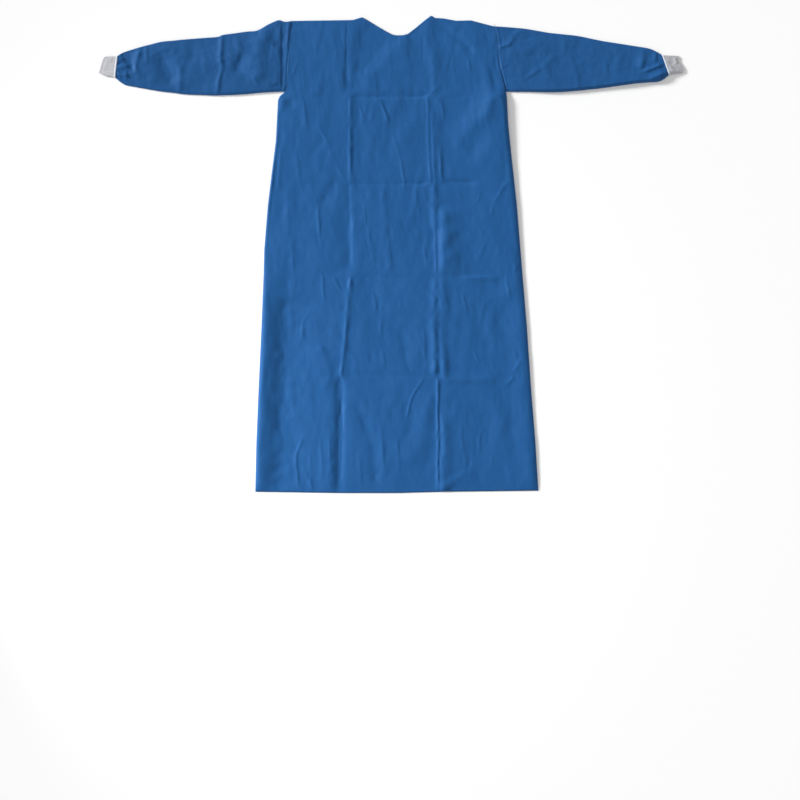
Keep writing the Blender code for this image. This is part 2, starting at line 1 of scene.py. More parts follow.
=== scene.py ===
"""Looks of an isolation gown of thin nonwoven cloth, laid flat on its back with its front up.

The gown lies in the XY plane: +X is the wearer's left, +Y points to the neck and +Z is up. Tables
give places on the gown as x, measured from its centre line, and height, measured up from the hem,
in metres. Every cloth piece is a thin shell: its outer face is worked out on a fine grid and a
Solidify modifier gives it the thickness of the cloth.
"""

import bpy
import numpy as np
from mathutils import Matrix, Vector


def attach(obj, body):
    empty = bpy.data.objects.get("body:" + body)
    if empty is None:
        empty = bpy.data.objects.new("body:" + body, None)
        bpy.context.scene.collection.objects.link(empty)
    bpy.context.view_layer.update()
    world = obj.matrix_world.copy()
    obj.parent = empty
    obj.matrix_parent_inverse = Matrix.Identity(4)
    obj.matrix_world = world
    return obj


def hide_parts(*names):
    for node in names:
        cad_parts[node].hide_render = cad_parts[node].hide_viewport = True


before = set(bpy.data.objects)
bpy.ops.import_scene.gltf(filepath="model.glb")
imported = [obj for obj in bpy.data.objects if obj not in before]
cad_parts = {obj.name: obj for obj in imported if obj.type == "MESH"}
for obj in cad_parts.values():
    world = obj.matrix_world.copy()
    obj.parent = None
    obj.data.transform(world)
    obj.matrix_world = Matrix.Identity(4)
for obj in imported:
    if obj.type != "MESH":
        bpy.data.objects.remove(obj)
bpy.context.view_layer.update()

# Main sizes, in metres
LENGTH = 1.200
CENTRE_LINE_X = 0.0126
CLOTH = 0.00045  # thickness of the nonwoven
KNIT = 0.0008  # thickness of the cuffs' rib knit
FOLD_TOP = 0.0027  # height of the front's face at its edges
FOLD_MIDDLE = 0.0012  # height of a folded edge's outermost line
EDGE_LOW = 0.0005  # how low the front's side edges come round
UNDERARM = 1.0077
YOKE = 1.118

# The photograph's frame, as it spans the surface that the gown lies on
FRAME_WIDTH = 2.0104
FRAME_CENTRE = (0.0211, -0.3664)
LENS = 100.0
SENSOR = 36.0

CLOTH_BLUE = (0.0084, 0.0795, 0.2470)
CLOTH_PALE = (0.0130, 0.1005, 0.2930)
TIE_BLUE = (0.0120, 0.0940, 0.2800)
KNIT_WHITE = (0.500, 0.505, 0.540)
SLEEVE_PAINTED_SHADE = 0.90  # painted shade: the sleeves get a darker copy of the front's cloth, standing in for the shade they lie in
THREAD_PALE = (0.420, 0.520, 0.680)
THREAD_WHITE = (0.660, 0.720, 0.800)
THREAD_BLUE = (0.026, 0.130, 0.330)
FLOOR_WHITE = (0.905, 0.905, 0.905)


def table(names, rows):
    """Turns a table's rows into one array of values for each named column."""
    return dict(zip(names.split(), np.array(rows, dtype=float).T))


def fold_table(rows):
    """Turns a table of folds from millimetres into metres, one row for each fold.

    A row has x, height, the same of the other end, the rise, and the width towards the lamp and
    away from it."""
    return np.array(rows, dtype=float) / 1000


# The body's side edges, and above the underarm the two armhole seams
SIDES = table("height right left", (
    (0.0000, -0.3552, 0.3561), (0.1282, -0.3523, 0.3483), (0.2588, -0.3468, 0.3377),
    (0.4197, -0.3393, 0.3269), (0.5503, -0.3340, 0.3159), (0.6107, -0.3325, 0.3111),
    (0.7212, -0.3237, 0.3021), (0.8042, -0.3136, 0.2933), (0.8444, -0.3084, 0.2887),
    (0.8846, -0.3033, 0.2847), (0.9248, -0.3013, 0.2807), (0.9876, -0.2980, 0.2774),
    (0.9977, -0.2930, 0.2767), (1.0077, -0.2795, 0.2749), (1.0346, -0.2776, 0.2689),
    (1.0665, -0.2752, 0.2609), (1.1032, -0.2725, 0.2548), (1.1346, -0.2700, 0.2548),
    (1.1728, -0.2668, 0.2468), (1.1861, -0.2654, 0.2468),
))

# Shoulders and neckline, from the wearer's right armhole to the left one
TOP = table("x height", (
    (-0.2654, 1.1861), (-0.1297, 1.1881), (-0.1096, 1.1886), (-0.0885, 1.1952), (-0.0827, 1.1937),
    (-0.0538, 1.1756), (-0.0269, 1.1600), (-0.0116, 1.1520), (0.0000, 1.1495), (0.0173, 1.1502),
    (0.0289, 1.1535), (0.0500, 1.1698), (0.0691, 1.1861), (0.0875, 1.2000), (0.0962, 1.1937),
    (0.1174, 1.1926), (0.1500, 1.1866), (0.1867, 1.1876), (0.2428, 1.1728), (0.2468, 1.1730),
))
NECK = (-0.0885, 0.0875)  # the two neck points, between which front and back are apart

HEM = table("x height", (
    (-0.3552, 0.0030), (-0.1437, 0.0000), (0.0035, 0.0000), (0.1103, 0.0030), (0.3561, 0.0060),
))

# The two long packing creases, from the shoulders to the hem, each in stretches of ridge and trough
LONG_CREASES = fold_table((
    (-125, 1194, -126, 1113, -0.8, 3.0, 7.5), (-126, 1113, -126, 1063, -1.0, 3.3, 7.5),
    (-126, 1063, -126, 1008, -2.8, 8.5, 8.0), (-117, 995, -117, 867, 1.3, 3.5, 6.5),
    (-117, 867, -116, 782, 2.0, 4.5, 6.0), (-120, 774, -119, 699, -1.8, 17.6, 5.0),
    (-119, 699, -118, 555, -2.8, 27.6, 6.0), (-116, 540, -123, 477, 2.2, 4.8, 6.0),
    (-123, 477, -127, 410, 2.2, 4.8, 6.0), (-127, 410, -135, 334, 2.2, 4.8, 6.0),
    (-135, 334, -139, 294, 2.2, 4.8, 6.0), (-139, 281, -140, 158, -3.2, 16.3, 7.0),
    (-140, 158, -141, 83, -3.2, 16.3, 7.0), (-141, 83, -143, 3, -3.2, 16.3, 7.0),
    (-141, 234, -142, 158, -1.3, 2.3, 5.5), (-142, 158, -144, 83, -1.3, 2.3, 5.5),
    (-144, 83, -146, 13, -1.3, 2.3, 5.5), (-192, 369, -160, 274, 2.0, 27.6, 9.0),
    (-160, 274, -158, 158, 2.0, 27.6, 9.0), (-158, 158, -161, 8, 2.0, 27.6, 9.0),
    (65, 1143, 66, 1083, -0.4, 3.3, 4.0), (93, 1113, 94, 1008, 1.6, 8.5, 15.1),
    (78, 993, 80, 862, 1.0, 3.8, 6.5), (80, 862, 86, 777, 1.0, 3.8, 6.5),
    (89, 957, 94, 824, 1.2, 4.0, 8.5), (94, 824, 98, 777, 1.2, 4.0, 8.5),
    (109, 867, 113, 779, 0.8, 6.5, 6.0), (93, 771, 96, 666, 2.9, 7.0, 7.5),
    (96, 666, 100, 555, 1.4, 4.5, 4.5), (118, 711, 120, 550, 5.4, 13.1, 35.2),
    (99, 535, 94, 475, 3.6, 8.5, 7.0), (94, 475, 96, 384, 3.6, 8.5, 7.0),
    (96, 384, 96, 299, 3.6, 8.5, 7.0), (114, 538, 112, 455, 3.0, 7.0, 12.6),
    (112, 455, 113, 372, 3.0, 7.0, 12.6), (113, 372, 119, 289, 3.0, 7.0, 12.6),
    (103, 281, 104, 133, 2.1, 4.0, 3.3), (104, 133, 103, 5, 2.1, 4.0, 3.3),
    (117, 196, 119, 133, 3.3, 7.5, 15.1), (119, 133, 114, 5, 3.3, 7.5, 15.1),
))

# The packing creases across the body, which show in part only
CROSS_CREASES = fold_table((
    (-110, 993, -12, 995, -1.9, 8.5, 3.3), (-12, 995, 76, 996, -1.9, 8.5, 3.3),
    (124, 990, 260, 1008, -0.5, 6.3, 6.3), (-243, 995, -137, 995, -0.3, 5.0, 5.0),
    (-102, 776, -14, 775, -1.0, 7.5, 3.3), (1, 776, 76, 777, -1.9, 8.0, 3.3),
    (124, 783, 195, 783, -2.0, 2.8, 8.5), (-243, 777, -142, 777, -0.3, 5.0, 5.0),
    (169, 541, 252, 541, 1.9, 4.0, 9.0), (-293, 540, -142, 540, 0.3, 6.3, 5.0),
    (-112, 543, 71, 542, -0.4, 5.0, 5.0), (-127, 298, 89, 295, -0.9, 4.5, 7.5),
    (124, 284, 250, 283, 2.2, 15.1, 6.5), (-328, 284, -157, 284, 0.4, 10.1, 6.3),
    (252, 279, 280, 274, 0.9, 5.0, 4.0), (280, 274, 293, 289, 0.9, 5.0, 4.0),
))
CROSS_LEVELS = (0.287, 0.541, 0.777, 0.992)

# Smaller creases and folds of the front, then the ridges and hollows along its side folds
SMALL_FOLDS = fold_table((
    (-91, 970, -81, 927, 0.9, 4.0, 3.0), (-40, 983, -18, 930, 1.2, 4.5, 3.0),
    (-52, 988, -39, 980, 0.6, 3.8, 3.0), (-8, 895, 6, 854, 0.7, 4.0, 3.0),
    (11, 837, 20, 777, 1.0, 4.3, 3.0), (14, 777, 21, 761, 0.6, 4.0, 3.0),
    (-203, 925, -180, 895, 0.5, 3.3, 4.0), (-180, 895, -164, 849, 0.7, 3.3, 4.5),
    (-152, 824, -135, 792, 0.5, 3.5, 4.5), (-190, 721, -157, 777, -2.6, 10.1, 15.1),
    (-185, 787, -160, 792, 0.9, 9.0, 7.5), (-198, 719, -194, 653, 0.9, 5.0, 3.3),
    (-83, 731, -76, 673, 0.7, 4.0, 3.3), (-34, 761, -14, 560, 1.0, 11.3, 5.0),
    (-72, 648, -57, 581, 0.6, 5.0, 3.8), (-157, 540, -142, 510, 0.8, 5.0, 3.8),
    (-187, 545, -182, 485, 0.9, 4.5, 3.8), (-59, 510, -49, 445, 0.7, 5.0, 3.8),
    (-235, 430, -239, 387, 0.8, 4.0, 3.0), (-223, 445, -235, 430, 0.6, 3.8, 3.0),
    (-230, 422, -235, 395, 0.5, 3.8, 3.0), (260, 1003, 205, 940, 3.8, 27.6, 22.6),
    (205, 940, 149, 877, 3.4, 25.1, 22.6), (205, 880, 184, 844, -1.2, 10.1, 12.6),
    (272, 822, 272, 782, -0.8, 7.5, 7.5), (245, 731, 275, 777, 0.8, 5.0, 3.8),
    (242, 721, 237, 701, 0.6, 3.8, 3.0), (210, 746, 202, 731, 0.6, 3.8, 3.3),
    (110, 842, 113, 792, 0.5, 3.5, 3.0), (46, 761, 59, 699, 0.7, 5.0, 3.5),
    (69, 626, 76, 570, 0.7, 4.5, 3.5), (124, 611, 167, 656, -0.6, 10.1, 10.1),
    (205, 581, 227, 641, 0.8, 7.5, 5.0), (275, 535, 285, 490, 0.9, 5.0, 3.8),
    (167, 495, 176, 457, 0.8, 4.0, 3.3), (220, 477, 210, 430, 0.8, 6.5, 4.5),
    (197, 354, 205, 329, 0.7, 3.8, 3.0), (124, 490, 129, 455, 0.6, 5.0, 3.8),
    (296, 563, 311, 581, 0.8, 4.5, 4.0), (295, 307, 311, 332, 0.8, 4.5, 4.0),
    (68, 289, 37, 239, 0.9, 4.0, 3.5), (37, 239, 26, 194, 0.8, 3.8, 3.3),
    (86, 244, 36, 80, 1.5, 15.1, 17.6), (114, 4, 152, 33, 2.6, 10.1, 3.8),
    (152, 33, 176, 54, 1.0, 7.5, 4.0), (176, 54, 186, 85, -0.7, 5.5, 5.0),
    (162, 163, 168, 103, 0.8, 5.5, 4.0), (210, 153, 207, 103, 0.8, 4.5, 4.0),
    (242, 95, 235, 58, 0.6, 5.0, 3.8), (-254, 95, -248, 23, 1.4, 5.0, 4.0),
    (-236, 138, -254, 95, 0.9, 4.0, 3.3), (-235, 63, -215, 18, 1.1, 4.5, 4.0),
    (-218, 95, -215, 43, 0.6, 3.5, 3.3), (-192, 133, -187, 38, 0.8, 4.5, 4.0),
    (-170, 143, -165, 53, 0.7, 4.0, 3.5), (-102, 224, -62, 123, -1.6, 7.5, 15.1),
    (-62, 123, -54, 28, -1.8, 7.5, 12.6), (-39, 163, -32, 58, 0.9, 6.0, 4.5),
    (-97, 93, -89, 33, 0.6, 4.5, 3.8), (1, 133, 6, 58, 0.7, 6.0, 5.0),
    (-37, 470, -39, 410, 0.7, 5.0, 4.0), (-64, 359, -62, 329, -0.6, 7.5, 6.3),
    (-34, 354, -32, 319, 0.6, 6.0, 4.5), (14, 410, 31, 304, -1.5, 12.6, 12.6),
    (69, 400, 71, 344, 0.7, 5.5, 3.8), (-268, 485, -263, 410, 0.7, 7.5, 6.3),
    (-263, 274, -253, 133, 0.6, 8.8, 7.5), (-218, 274, -213, 183, 0.6, 7.5, 7.5),
    (-278, 761, -270, 656, 0.8, 7.5, 6.0), (-253, 862, -245, 797, 0.8, 6.0, 5.0),
    (-258, 912, -250, 837, -0.6, 7.5, 7.5), (-233, 988, -228, 917, 0.7, 6.0, 5.0),
    (-265, 636, -258, 560, 0.7, 6.5, 5.5), (107, 1179, 147, 1146, -1.8, 5.5, 6.0),
    (147, 1146, 189, 1111, -3.0, 6.0, 6.5), (-52, 1164, -87, 1083, -4.2, 25.1, 32.7),
    (-87, 1083, -110, 1013, -3.0, 15.1, 27.6), (29, 1143, -32, 1083, 1.6, 17.6, 22.6),
    (-32, 1083, -77, 1028, 1.2, 17.6, 20.1), (-250, 1083, -260, 1050, 0.7, 4.5, 3.5),
    (-187, 1058, -200, 1000, 0.8, 10.1, 7.5), (-167, 1164, -150, 1088, 0.6, 10.1, 10.1),
    (89, 998, 112, 978, 0.8, 3.0, 3.0), (86, 1003, 102, 1018, 0.6, 3.0, 3.0),
    (112, 978, 119, 937, 0.5, 3.5, 3.3), (134, 1113, 124, 1063, 0.7, 7.5, 5.0),
    (179, 1088, 184, 1058, 0.7, 4.0, 3.5), (147, 1028, 184, 1053, -0.6, 7.5, 8.8),
    (-270, 988, -260, 970, -1.6, 10.1, 11.3), (-283, 993, -291, 962, 1.4, 6.3, 8.8),
))
EDGE_FOLDS = fold_table((
    (-301, 905, -308, 845, 2.0, 5.0, 4.0), (-308, 845, -318, 760, 3.4, 5.0, 4.2),
    (-318, 760, -323, 700, 1.8, 5.0, 4.0), (-291, 865, -298, 770, 0.7, 3.0, 5.0),
    (-275, 485, -288, 250, -3.2, 28.0, 60.0), (-288, 250, -296, 20, -3.2, 28.0, 60.0),
))
FRONT_FOLDS = np.vstack([LONG_CREASES, CROSS_CREASES, SMALL_FOLDS, EDGE_FOLDS])

# The free centre-back edges of the two back panels
BACK_EDGES = table("height right left", (
    (0.000, -0.0940, 0.0989), (0.255, -0.0725, 0.0816), (0.345, -0.0690, 0.0773),
    (0.508, -0.0615, 0.0640), (0.680, -0.0475, 0.0518), (0.766, -0.0384, 0.0430),
    (0.911, -0.0255, 0.0300), (1.057, -0.0110, 0.0130), (1.152, -0.0035, 0.0015),
))
BACK_HEM = 0.0080
BACK_FOLDS = {
    "right": fold_table((
        (-115, 1130, -117, 790, 0.6, 4.5, 4.5), (-117, 770, -120, 550, 0.4, 4.5, 4.5),
        (-120, 530, -138, 300, 0.6, 4.5, 4.5), (-138, 270, -146, 10, 0.5, 4.5, 4.5),
        (-50, 745, -150, 700, 0.5, 9.0, 9.0), (-290, 990, -230, 1050, 0.6, 10.0, 10.0),
        (-220, 640, -240, 550, 0.5, 8.0, 8.0), (-270, 150, -260, 20, 0.5, 8.0, 8.0),
    )),
    "left": fold_table((
        (123, 1140, 140, 790, 0.6, 4.5, 4.5), (140, 770, 156, 550, 0.6, 4.5, 4.5),
        (156, 530, 170, 300, 0.6, 4.5, 4.5), (170, 270, 186, 10, 0.6, 4.5, 4.5),
        (55, 745, 145, 710, 0.5, 9.0, 9.0), (270, 990, 220, 1060, 0.6, 10.0, 10.0),
        (230, 560, 250, 470, 0.5, 8.0, 8.0), (275, 130, 260, 20, 0.5, 8.0, 8.0),
    )),
}

# Sleeves from the armhole to the wrist: the upper and the lower edge at each section
SLEEVE_COLUMNS = "x_top top x_low low"
SLEEVES = {
    "right": table(SLEEVE_COLUMNS, (
        (-0.2654, 1.1855, -0.2795, 1.0082), (-0.2810, 1.1840, -0.2900, 1.0080),
        (-0.2955, 1.1879, -0.3030, 1.0076), (-0.3100, 1.1830, -0.3140, 1.0071),
        (-0.3250, 1.1758, -0.3250, 1.0065), (-0.3506, 1.1618, -0.3500, 1.0047),
        (-0.3760, 1.1592, -0.3770, 1.0020), (-0.4100, 1.1545, -0.4100, 1.0000),
        (-0.4370, 1.1507, -0.4370, 0.9990), (-0.4500, 1.1459, -0.4550, 0.9985),
        (-0.4900, 1.1428, -0.4920, 0.9998), (-0.5330, 1.1394, -0.5330, 1.0016),
        (-0.5620, 1.1365, -0.5620, 1.0055), (-0.5910, 1.1336, -0.5910, 1.0087),
        (-0.6170, 1.1272, -0.6170, 1.0130), (-0.6420, 1.1208, -0.6420, 1.0173),
        (-0.6640, 1.1141, -0.6640, 1.0214), (-0.6800, 1.1090, -0.6820, 1.0250),
        (-0.6920, 1.1040, -0.6960, 1.0340), (-0.7000, 1.0985, -0.7062, 1.0430),
    )),
    "left": table(SLEEVE_COLUMNS, (
        (0.2468, 1.1725, 0.2749, 1.0082), (0.2640, 1.1714, 0.2850, 1.0080),
        (0.2830, 1.1700, 0.2970, 1.0077), (0.3214, 1.1665, 0.3264, 1.0077),
        (0.3520, 1.1615, 0.3560, 1.0070), (0.3830, 1.1562, 0.3850, 1.0065),
        (0.4190, 1.1523, 0.4200, 1.0076), (0.4550, 1.1482, 0.4520, 1.0102),
        (0.4870, 1.1417, 0.4840, 1.0135), (0.5194, 1.1351, 0.5160, 1.0170),
        (0.5480, 1.1306, 0.5483, 1.0215), (0.5750, 1.1264, 0.5800, 1.0258),
        (0.5984, 1.1226, 0.6040, 1.0290), (0.6300, 1.1175, 0.6370, 1.0316),
        (0.6450, 1.1125, 0.6560, 1.0330), (0.6560, 1.1065, 0.6700, 1.0385),
        (0.6654, 1.1005, 0.6830, 1.0490),
    )),
}
SLEEVE_FOLDS = {
    "right": fold_table((
        (-685, 1108, -660, 1066, -4.4, 8.8, 10.1), (-645, 1116, -656, 1066, 2.0, 7.5, 4.5),
        (-629, 1123, -627, 1081, 1.0, 4.5, 3.3), (-706, 1087, -685, 1092, 2.2, 5.0, 4.0),
        (-707, 1069, -676, 1072, 2.8, 5.0, 5.5), (-703, 1053, -675, 1047, 2.2, 5.0, 4.0),
        (-700, 1078, -672, 1082, -1.4, 4.5, 4.5), (-680, 1060, -678, 1035, 1.0, 5.0, 3.3),
        (-600, 1096, -564, 1030, -4.2, 22.6, 22.6), (-665, 1083, -642, 1038, 1.6, 10.1, 7.5),
        (-542, 1071, -544, 1008, 1.6, 8.5, 5.5), (-600, 1104, -562, 1112, -0.6, 3.8, 4.5),
        (-519, 1138, -514, 1088, -2.0, 15.1, 15.1), (-483, 1113, -480, 1048, 0.6, 6.0, 5.0),
        (-438, 1148, -443, 1088, 2.1, 7.3, 5.5), (-443, 1088, -435, 1068, 2.0, 6.5, 4.5),
        (-435, 1068, -446, 1038, 2.0, 6.5, 4.5), (-446, 1038, -451, 1000, 1.8, 7.3, 5.5),
        (-431, 1088, -439, 1048, -0.6, 4.0, 5.0), (-424, 1109, -410, 1094, 0.7, 4.0, 3.3),
        (-402, 1148, -392, 1113, 0.9, 7.5, 6.0), (-392, 1113, -402, 1083, 0.8, 6.0, 5.0),
        (-404, 1058, -386, 1103, -2.8, 10.1, 15.1), (-399, 1063, -371, 1045, -0.6, 3.8, 4.5),
        (-349, 1161, -349, 1146, -1.2, 2.5, 3.5), (-328, 1169, -351, 1113, 4.6, 22.6, 20.1),
        (-351, 1113, -348, 1038, 3.0, 22.6, 17.6), (-308, 1161, -298, 1123, -2.0, 10.1, 7.5),
        (-361, 1045, -347, 1023, 0.8, 4.5, 3.8), (-313, 1018, -293, 1025, -0.8, 5.0, 5.0),
        (-287, 1174, -288, 1088, -2.0, 3.3, 8.5), (-288, 1088, -287, 1020, -1.6, 3.0, 8.5),
        (-272, 1174, -274, 1128, 0.9, 4.0, 2.5), (-514, 1083, -519, 1028, 0.6, 7.5, 6.0),
        (-620, 1033, -585, 1063, 0.7, 12.6, 10.1), (-574, 1128, -554, 1108, 0.8, 8.8, 5.0),
    )),
    "left": fold_table((
        (257, 1118, 282, 1125, 2.0, 7.5, 3.3), (282, 1125, 297, 1143, 2.4, 8.5, 3.5),
        (282, 1141, 315, 1165, 0.8, 7.5, 6.3), (328, 1043, 363, 1067, 1.5, 6.5, 3.5),
        (363, 1067, 396, 1094, 1.1, 9.0, 7.5), (324, 1038, 370, 1020, -0.5, 3.8, 4.0),
        (360, 1128, 310, 1108, 0.7, 11.3, 10.1), (318, 1141, 350, 1138, -0.6, 7.5, 7.5),
        (328, 1096, 350, 1098, -0.5, 5.0, 5.5), (375, 1101, 396, 1106, -0.6, 6.3, 5.5),
        (440, 1133, 439, 1096, -0.6, 4.5, 4.0), (438, 1096, 453, 1048, 0.9, 5.5, 4.0),
        (453, 1048, 457, 1013, 0.9, 5.5, 4.0), (527, 1073, 526, 1045, 0.7, 3.8, 3.3),
        (521, 1073, 526, 1063, 0.5, 3.3, 3.3), (491, 1128, 484, 1083, 0.6, 10.1, 7.5),
        (566, 1113, 556, 1058, 0.6, 12.6, 8.8), (622, 1116, 620, 1088, 2.0, 12.6, 5.0),
        (620, 1088, 615, 1066, 2.2, 11.3, 4.5), (651, 1111, 648, 1083, 2.0, 7.5, 5.0),
        (620, 1057, 666, 1075, 3.0, 5.0, 4.0), (636, 1041, 679, 1056, 3.0, 7.5, 6.0),
        (642, 1064, 672, 1071, -0.8, 3.3, 3.3), (260, 1068, 280, 1078, 0.6, 3.8, 3.3),
        (411, 1023, 451, 1028, -0.5, 5.0, 5.0),
    )),
}

# Cuffs beyond the wrist seam; reach is how far a section bows out beyond its two corners
CUFF_COLUMNS = "x_top top x_low low reach"
CUFFS = {
    "right": table(CUFF_COLUMNS, (
        (-0.7005, 1.0985, -0.7067, 1.0430, 0.0000), (-0.7080, 1.0975, -0.7120, 1.0450, 0.0030),
        (-0.7160, 1.0976, -0.7180, 1.0458, 0.0080), (-0.7250, 1.0972, -0.7240, 1.0462, 0.0130),
        (-0.7320, 1.0965, -0.7288, 1.0466, 0.0181),
    )),
    "left": table(CUFF_COLUMNS, (
        (0.6659, 1.1005, 0.6835, 1.0490, 0.0000), (0.6760, 1.0995, 0.6920, 1.0510, 0.0010),
        (0.6860, 1.0992, 0.7000, 1.0525, 0.0040), (0.6960, 1.0990, 0.7090, 1.0540, 0.0060),
        (0.7054, 1.0985, 0.7172, 1.0552, 0.0080),
    )),
}
CUFF_ENDS = {  # shares of the reach, from the top of the open end to its bottom
    "right": ((0.0, 0.17, 0.42, 0.66, 0.80, 0.90, 1.0), (0.0, 0.36, 0.62, 0.82, 1.05, 0.60, 0.0)),
    "left": ((0.0, 0.08, 0.26, 0.55, 0.85, 1.0), (0.1, 0.0, -0.50, 0.20, 0.45, 0.0)),
}
RIBS = 23  # on each face of a cuff
RIB_RISE = 0.00018

# Routes of the ties, as x and height: the sewn straps, then the free ends beyond the knot
STRAPS = {
    "left": ((0.072, 0.747), (0.058, 0.7475), (0.042, 0.748), (0.0245, 0.7480)),
    "right": ((-0.065, 0.747), (-0.048, 0.7475), (-0.028, 0.748), (-0.0025, 0.7480)),
}
TIES = {
    "left": (
        (0.0245, 0.7300), (0.0450, 0.7300), (0.0690, 0.7200), (0.0870, 0.6930), (0.1000, 0.6550),
        (0.1085, 0.6150), (0.1135, 0.5700), (0.1120, 0.5250), (0.1060, 0.4800), (0.0950, 0.4300),
        (0.0770, 0.3730), (0.0570, 0.3180), (0.0355, 0.2900), (0.0060, 0.2750), (-0.0320, 0.2630),
        (-0.0720, 0.2560),
    ),
    "right": (
        (-0.0025, 0.7300), (-0.0230, 0.7330), (-0.0470, 0.7290), (-0.0690, 0.7090),
        (-0.0800, 0.6700), (-0.0805, 0.6300), (-0.0730, 0.5800), (-0.0600, 0.5350),
        (-0.0475, 0.4950), (-0.0270, 0.4260), (-0.0020, 0.3600), (0.0230, 0.3050),
        (0.0360, 0.2820), (0.0500, 0.2420), (0.0590, 0.2050), (0.0580, 0.1750), (0.0480, 0.1540),
    ),
}
TIE_CROSSING = (0.0320, 0.2880)
CROSSING_REACH = 0.022  # a tie rises over the other from twice this far off their crossing
TIE_WIDTH = 0.0096
TIE_THICKNESS = 0.0009
TIE_CLEAR = 0.0002
TIE_GROOVE = 0.10  # depth of the groove along its stitches, as a share of its thickness
TIE_GROOVE_WIDTH = 0.0007
KNOT_CENTRE = (0.011, 0.738)
KNOT_SIZE = (0.026, 0.030, 0.0027)


class Value:
    """A number that varies over a surface; arithmetic on it adds Math nodes to its finish."""

    def __init__(self, finish, socket):
        self.finish = finish
        self.socket = socket

    def maths(self, operation, *inputs, clamp=False):
        settings = {"operation": operation, "use_clamp": clamp}
        return self.finish.add("ShaderNodeMath", settings, dict(enumerate(inputs)))

    def __add__(self, other):
        return self.maths("ADD", self, other)

    def __sub__(self, other):
        return self.maths("SUBTRACT", self, other)

    def __rsub__(self, other):
        return self.maths("SUBTRACT", other, self)

    def __mul__(self, other):
        return self.maths("MULTIPLY", self, other)

    __radd__ = __add__
    __rmul__ = __mul__

    def cosine(self):
        return self.maths("COSINE", self)

    def size(self):
        return self.maths("ABSOLUTE", self)

    def clamped(self):
        return self.maths("ADD", self, 0.0, clamp=True)


class Finish:
    """A material being put together around one Principled shader."""

    def __init__(self, name, **constants):
        self.material = bpy.data.materials.new(name)
        self.material.use_nodes = True
        self.tree = self.material.node_tree
        self.shader = self.tree.nodes["Principled BSDF"]
        for socket, value in constants.items():
            self.shader.inputs[socket.replace("_", " ")].default_value = value

    def add(self, kind, settings=None, inputs=None, output=0):
        """Adds a node: its settings first, then the values or links of its sockets."""
        node = self.tree.nodes.new(kind)
        for name, value in (settings or {}).items():
            setattr(node, name, value)
        for name, value in (inputs or {}).items():
            self.feed(node.inputs[name], value)
        return Value(self, node.outputs[output])

    def feed(self, socket, value):
        if isinstance(value, Value):
            self.tree.links.new(value.socket, socket)
        else:
            socket.default_value = value

    def noise(self, places, scale, stretch=(1, 1, 1), turn=0.0, detail=2.0):
        """Cloudy noise around 0.5 on the given places, stretched and turned in the plane."""
        mapped = self.add("ShaderNodeMapping", {"vector_type": "TEXTURE"},
                          {"Vector": places, "Rotation": (0, 0, turn), "Scale": stretch})
        return self.add("ShaderNodeTexNoise", {}, {"Vector": mapped, "Scale": scale, "Detail": detail})

    def mixed(self, share, first, second):
        return self.add("ShaderNodeMix", {"data_type": "RGBA"},
                        {0: share, 6: (*first, 1) if isinstance(first, tuple) else first,
                         7: (*second, 1) if isinstance(second, tuple) else second}, output=2)

    def coat(self, colour, roughness, height, depth):
        """Feeds the shader: its colour, its roughness, and a bump of a height in units of depth."""
        self.feed(self.shader.inputs["Base Color"], colour)
        self.feed(self.shader.inputs["Roughness"], roughness)
        bumped = self.add("ShaderNodeBump", {}, {"Height": height, "Distance": depth, "Strength": 1.0})
        self.feed(self.shader.inputs["Normal"], bumped)
        return self.material


def axes(finish, places):
    """The x and y of places as two values."""
    return [finish.add("ShaderNodeSeparateXYZ", {}, {"Vector": places}, output=axis) for axis in (0, 1)]


BOND_PITCH = (0.0021, 0.0030)  # the nonwoven's pressed dots lie in a diamond lattice of this size
WEB_DEPTH = 0.00010  # depth of the nonwoven's own relief, in its bump
WALE_PITCH = 0.00115  # from one column of the knit's loops to the next
COURSE_PITCH = 0.0009  # from one loop to the next in a column
KNIT_DEPTH = 0.00022
TIE_SEAM_AT = 0.28  # a tie's line of stitches, as a share of its width from its middle
TIE_SEAM_SHARPNESS = 3600.0  # one over the half width of that line
TIE_STITCH_PITCH = 0.0034
TWIST_PITCH = 0.0006  # of the sewing thread
THREAD_DEPTH = 0.00005


def nonwoven(name, dark, pale):
    """Bonded nonwoven: a lattice of pressed dots, tangled fibres, and clouds of thicker web."""
    finish = Finish(name, Specular_IOR_Level=0.16, Sheen_Weight=0.03, Sheen_Roughness=0.45)
    places = finish.add("ShaderNodeTexCoord", output=3)
    x, y = axes(finish, places)
    turns = [2 * np.pi / pitch for pitch in BOND_PITCH]
    dots = ((x * turns[0]).cosine() * (y * turns[1]).cosine() * 3.0 - 1.5).clamped()
    fibres = finish.noise(places, 900.0, stretch=(1, 3.5, 1), turn=0.5, detail=3.0)
    crossing = finish.noise(places, 900.0, stretch=(1, 3.5, 1), turn=-0.45, detail=3.0)
    crimps = finish.noise(places, 42.0, stretch=(1, 2.2, 1), turn=0.12, detail=1.5)
    nips = finish.noise(places, 110.0, stretch=(1, 1.7, 1), turn=-0.25, detail=1.0)
    web = finish.noise(places, 70.0, stretch=(1, 2.2, 1), detail=4.0)
    clouds = finish.noise(places, 9.0, stretch=(1, 1.6, 1), detail=3.0)
    tangle = (fibres - 0.5).size() + (crossing - 0.5).size()
    wrinkles = (crimps - 0.5).size() * 7.0 - (nips - 0.5).size() * 2.6
    share = (web * 0.7 + clouds * 0.5 + tangle * 0.35 - dots * 0.18 - 0.28).clamped()
    colour = finish.mixed(share, dark, pale)
    roughness = 0.62 - dots * 0.16 + (web - 0.5) * 0.12
    height = tangle * 0.9 + web * 1.3 - dots * 0.8 + wrinkles
    return finish.coat(colour, roughness, height, WEB_DEPTH)


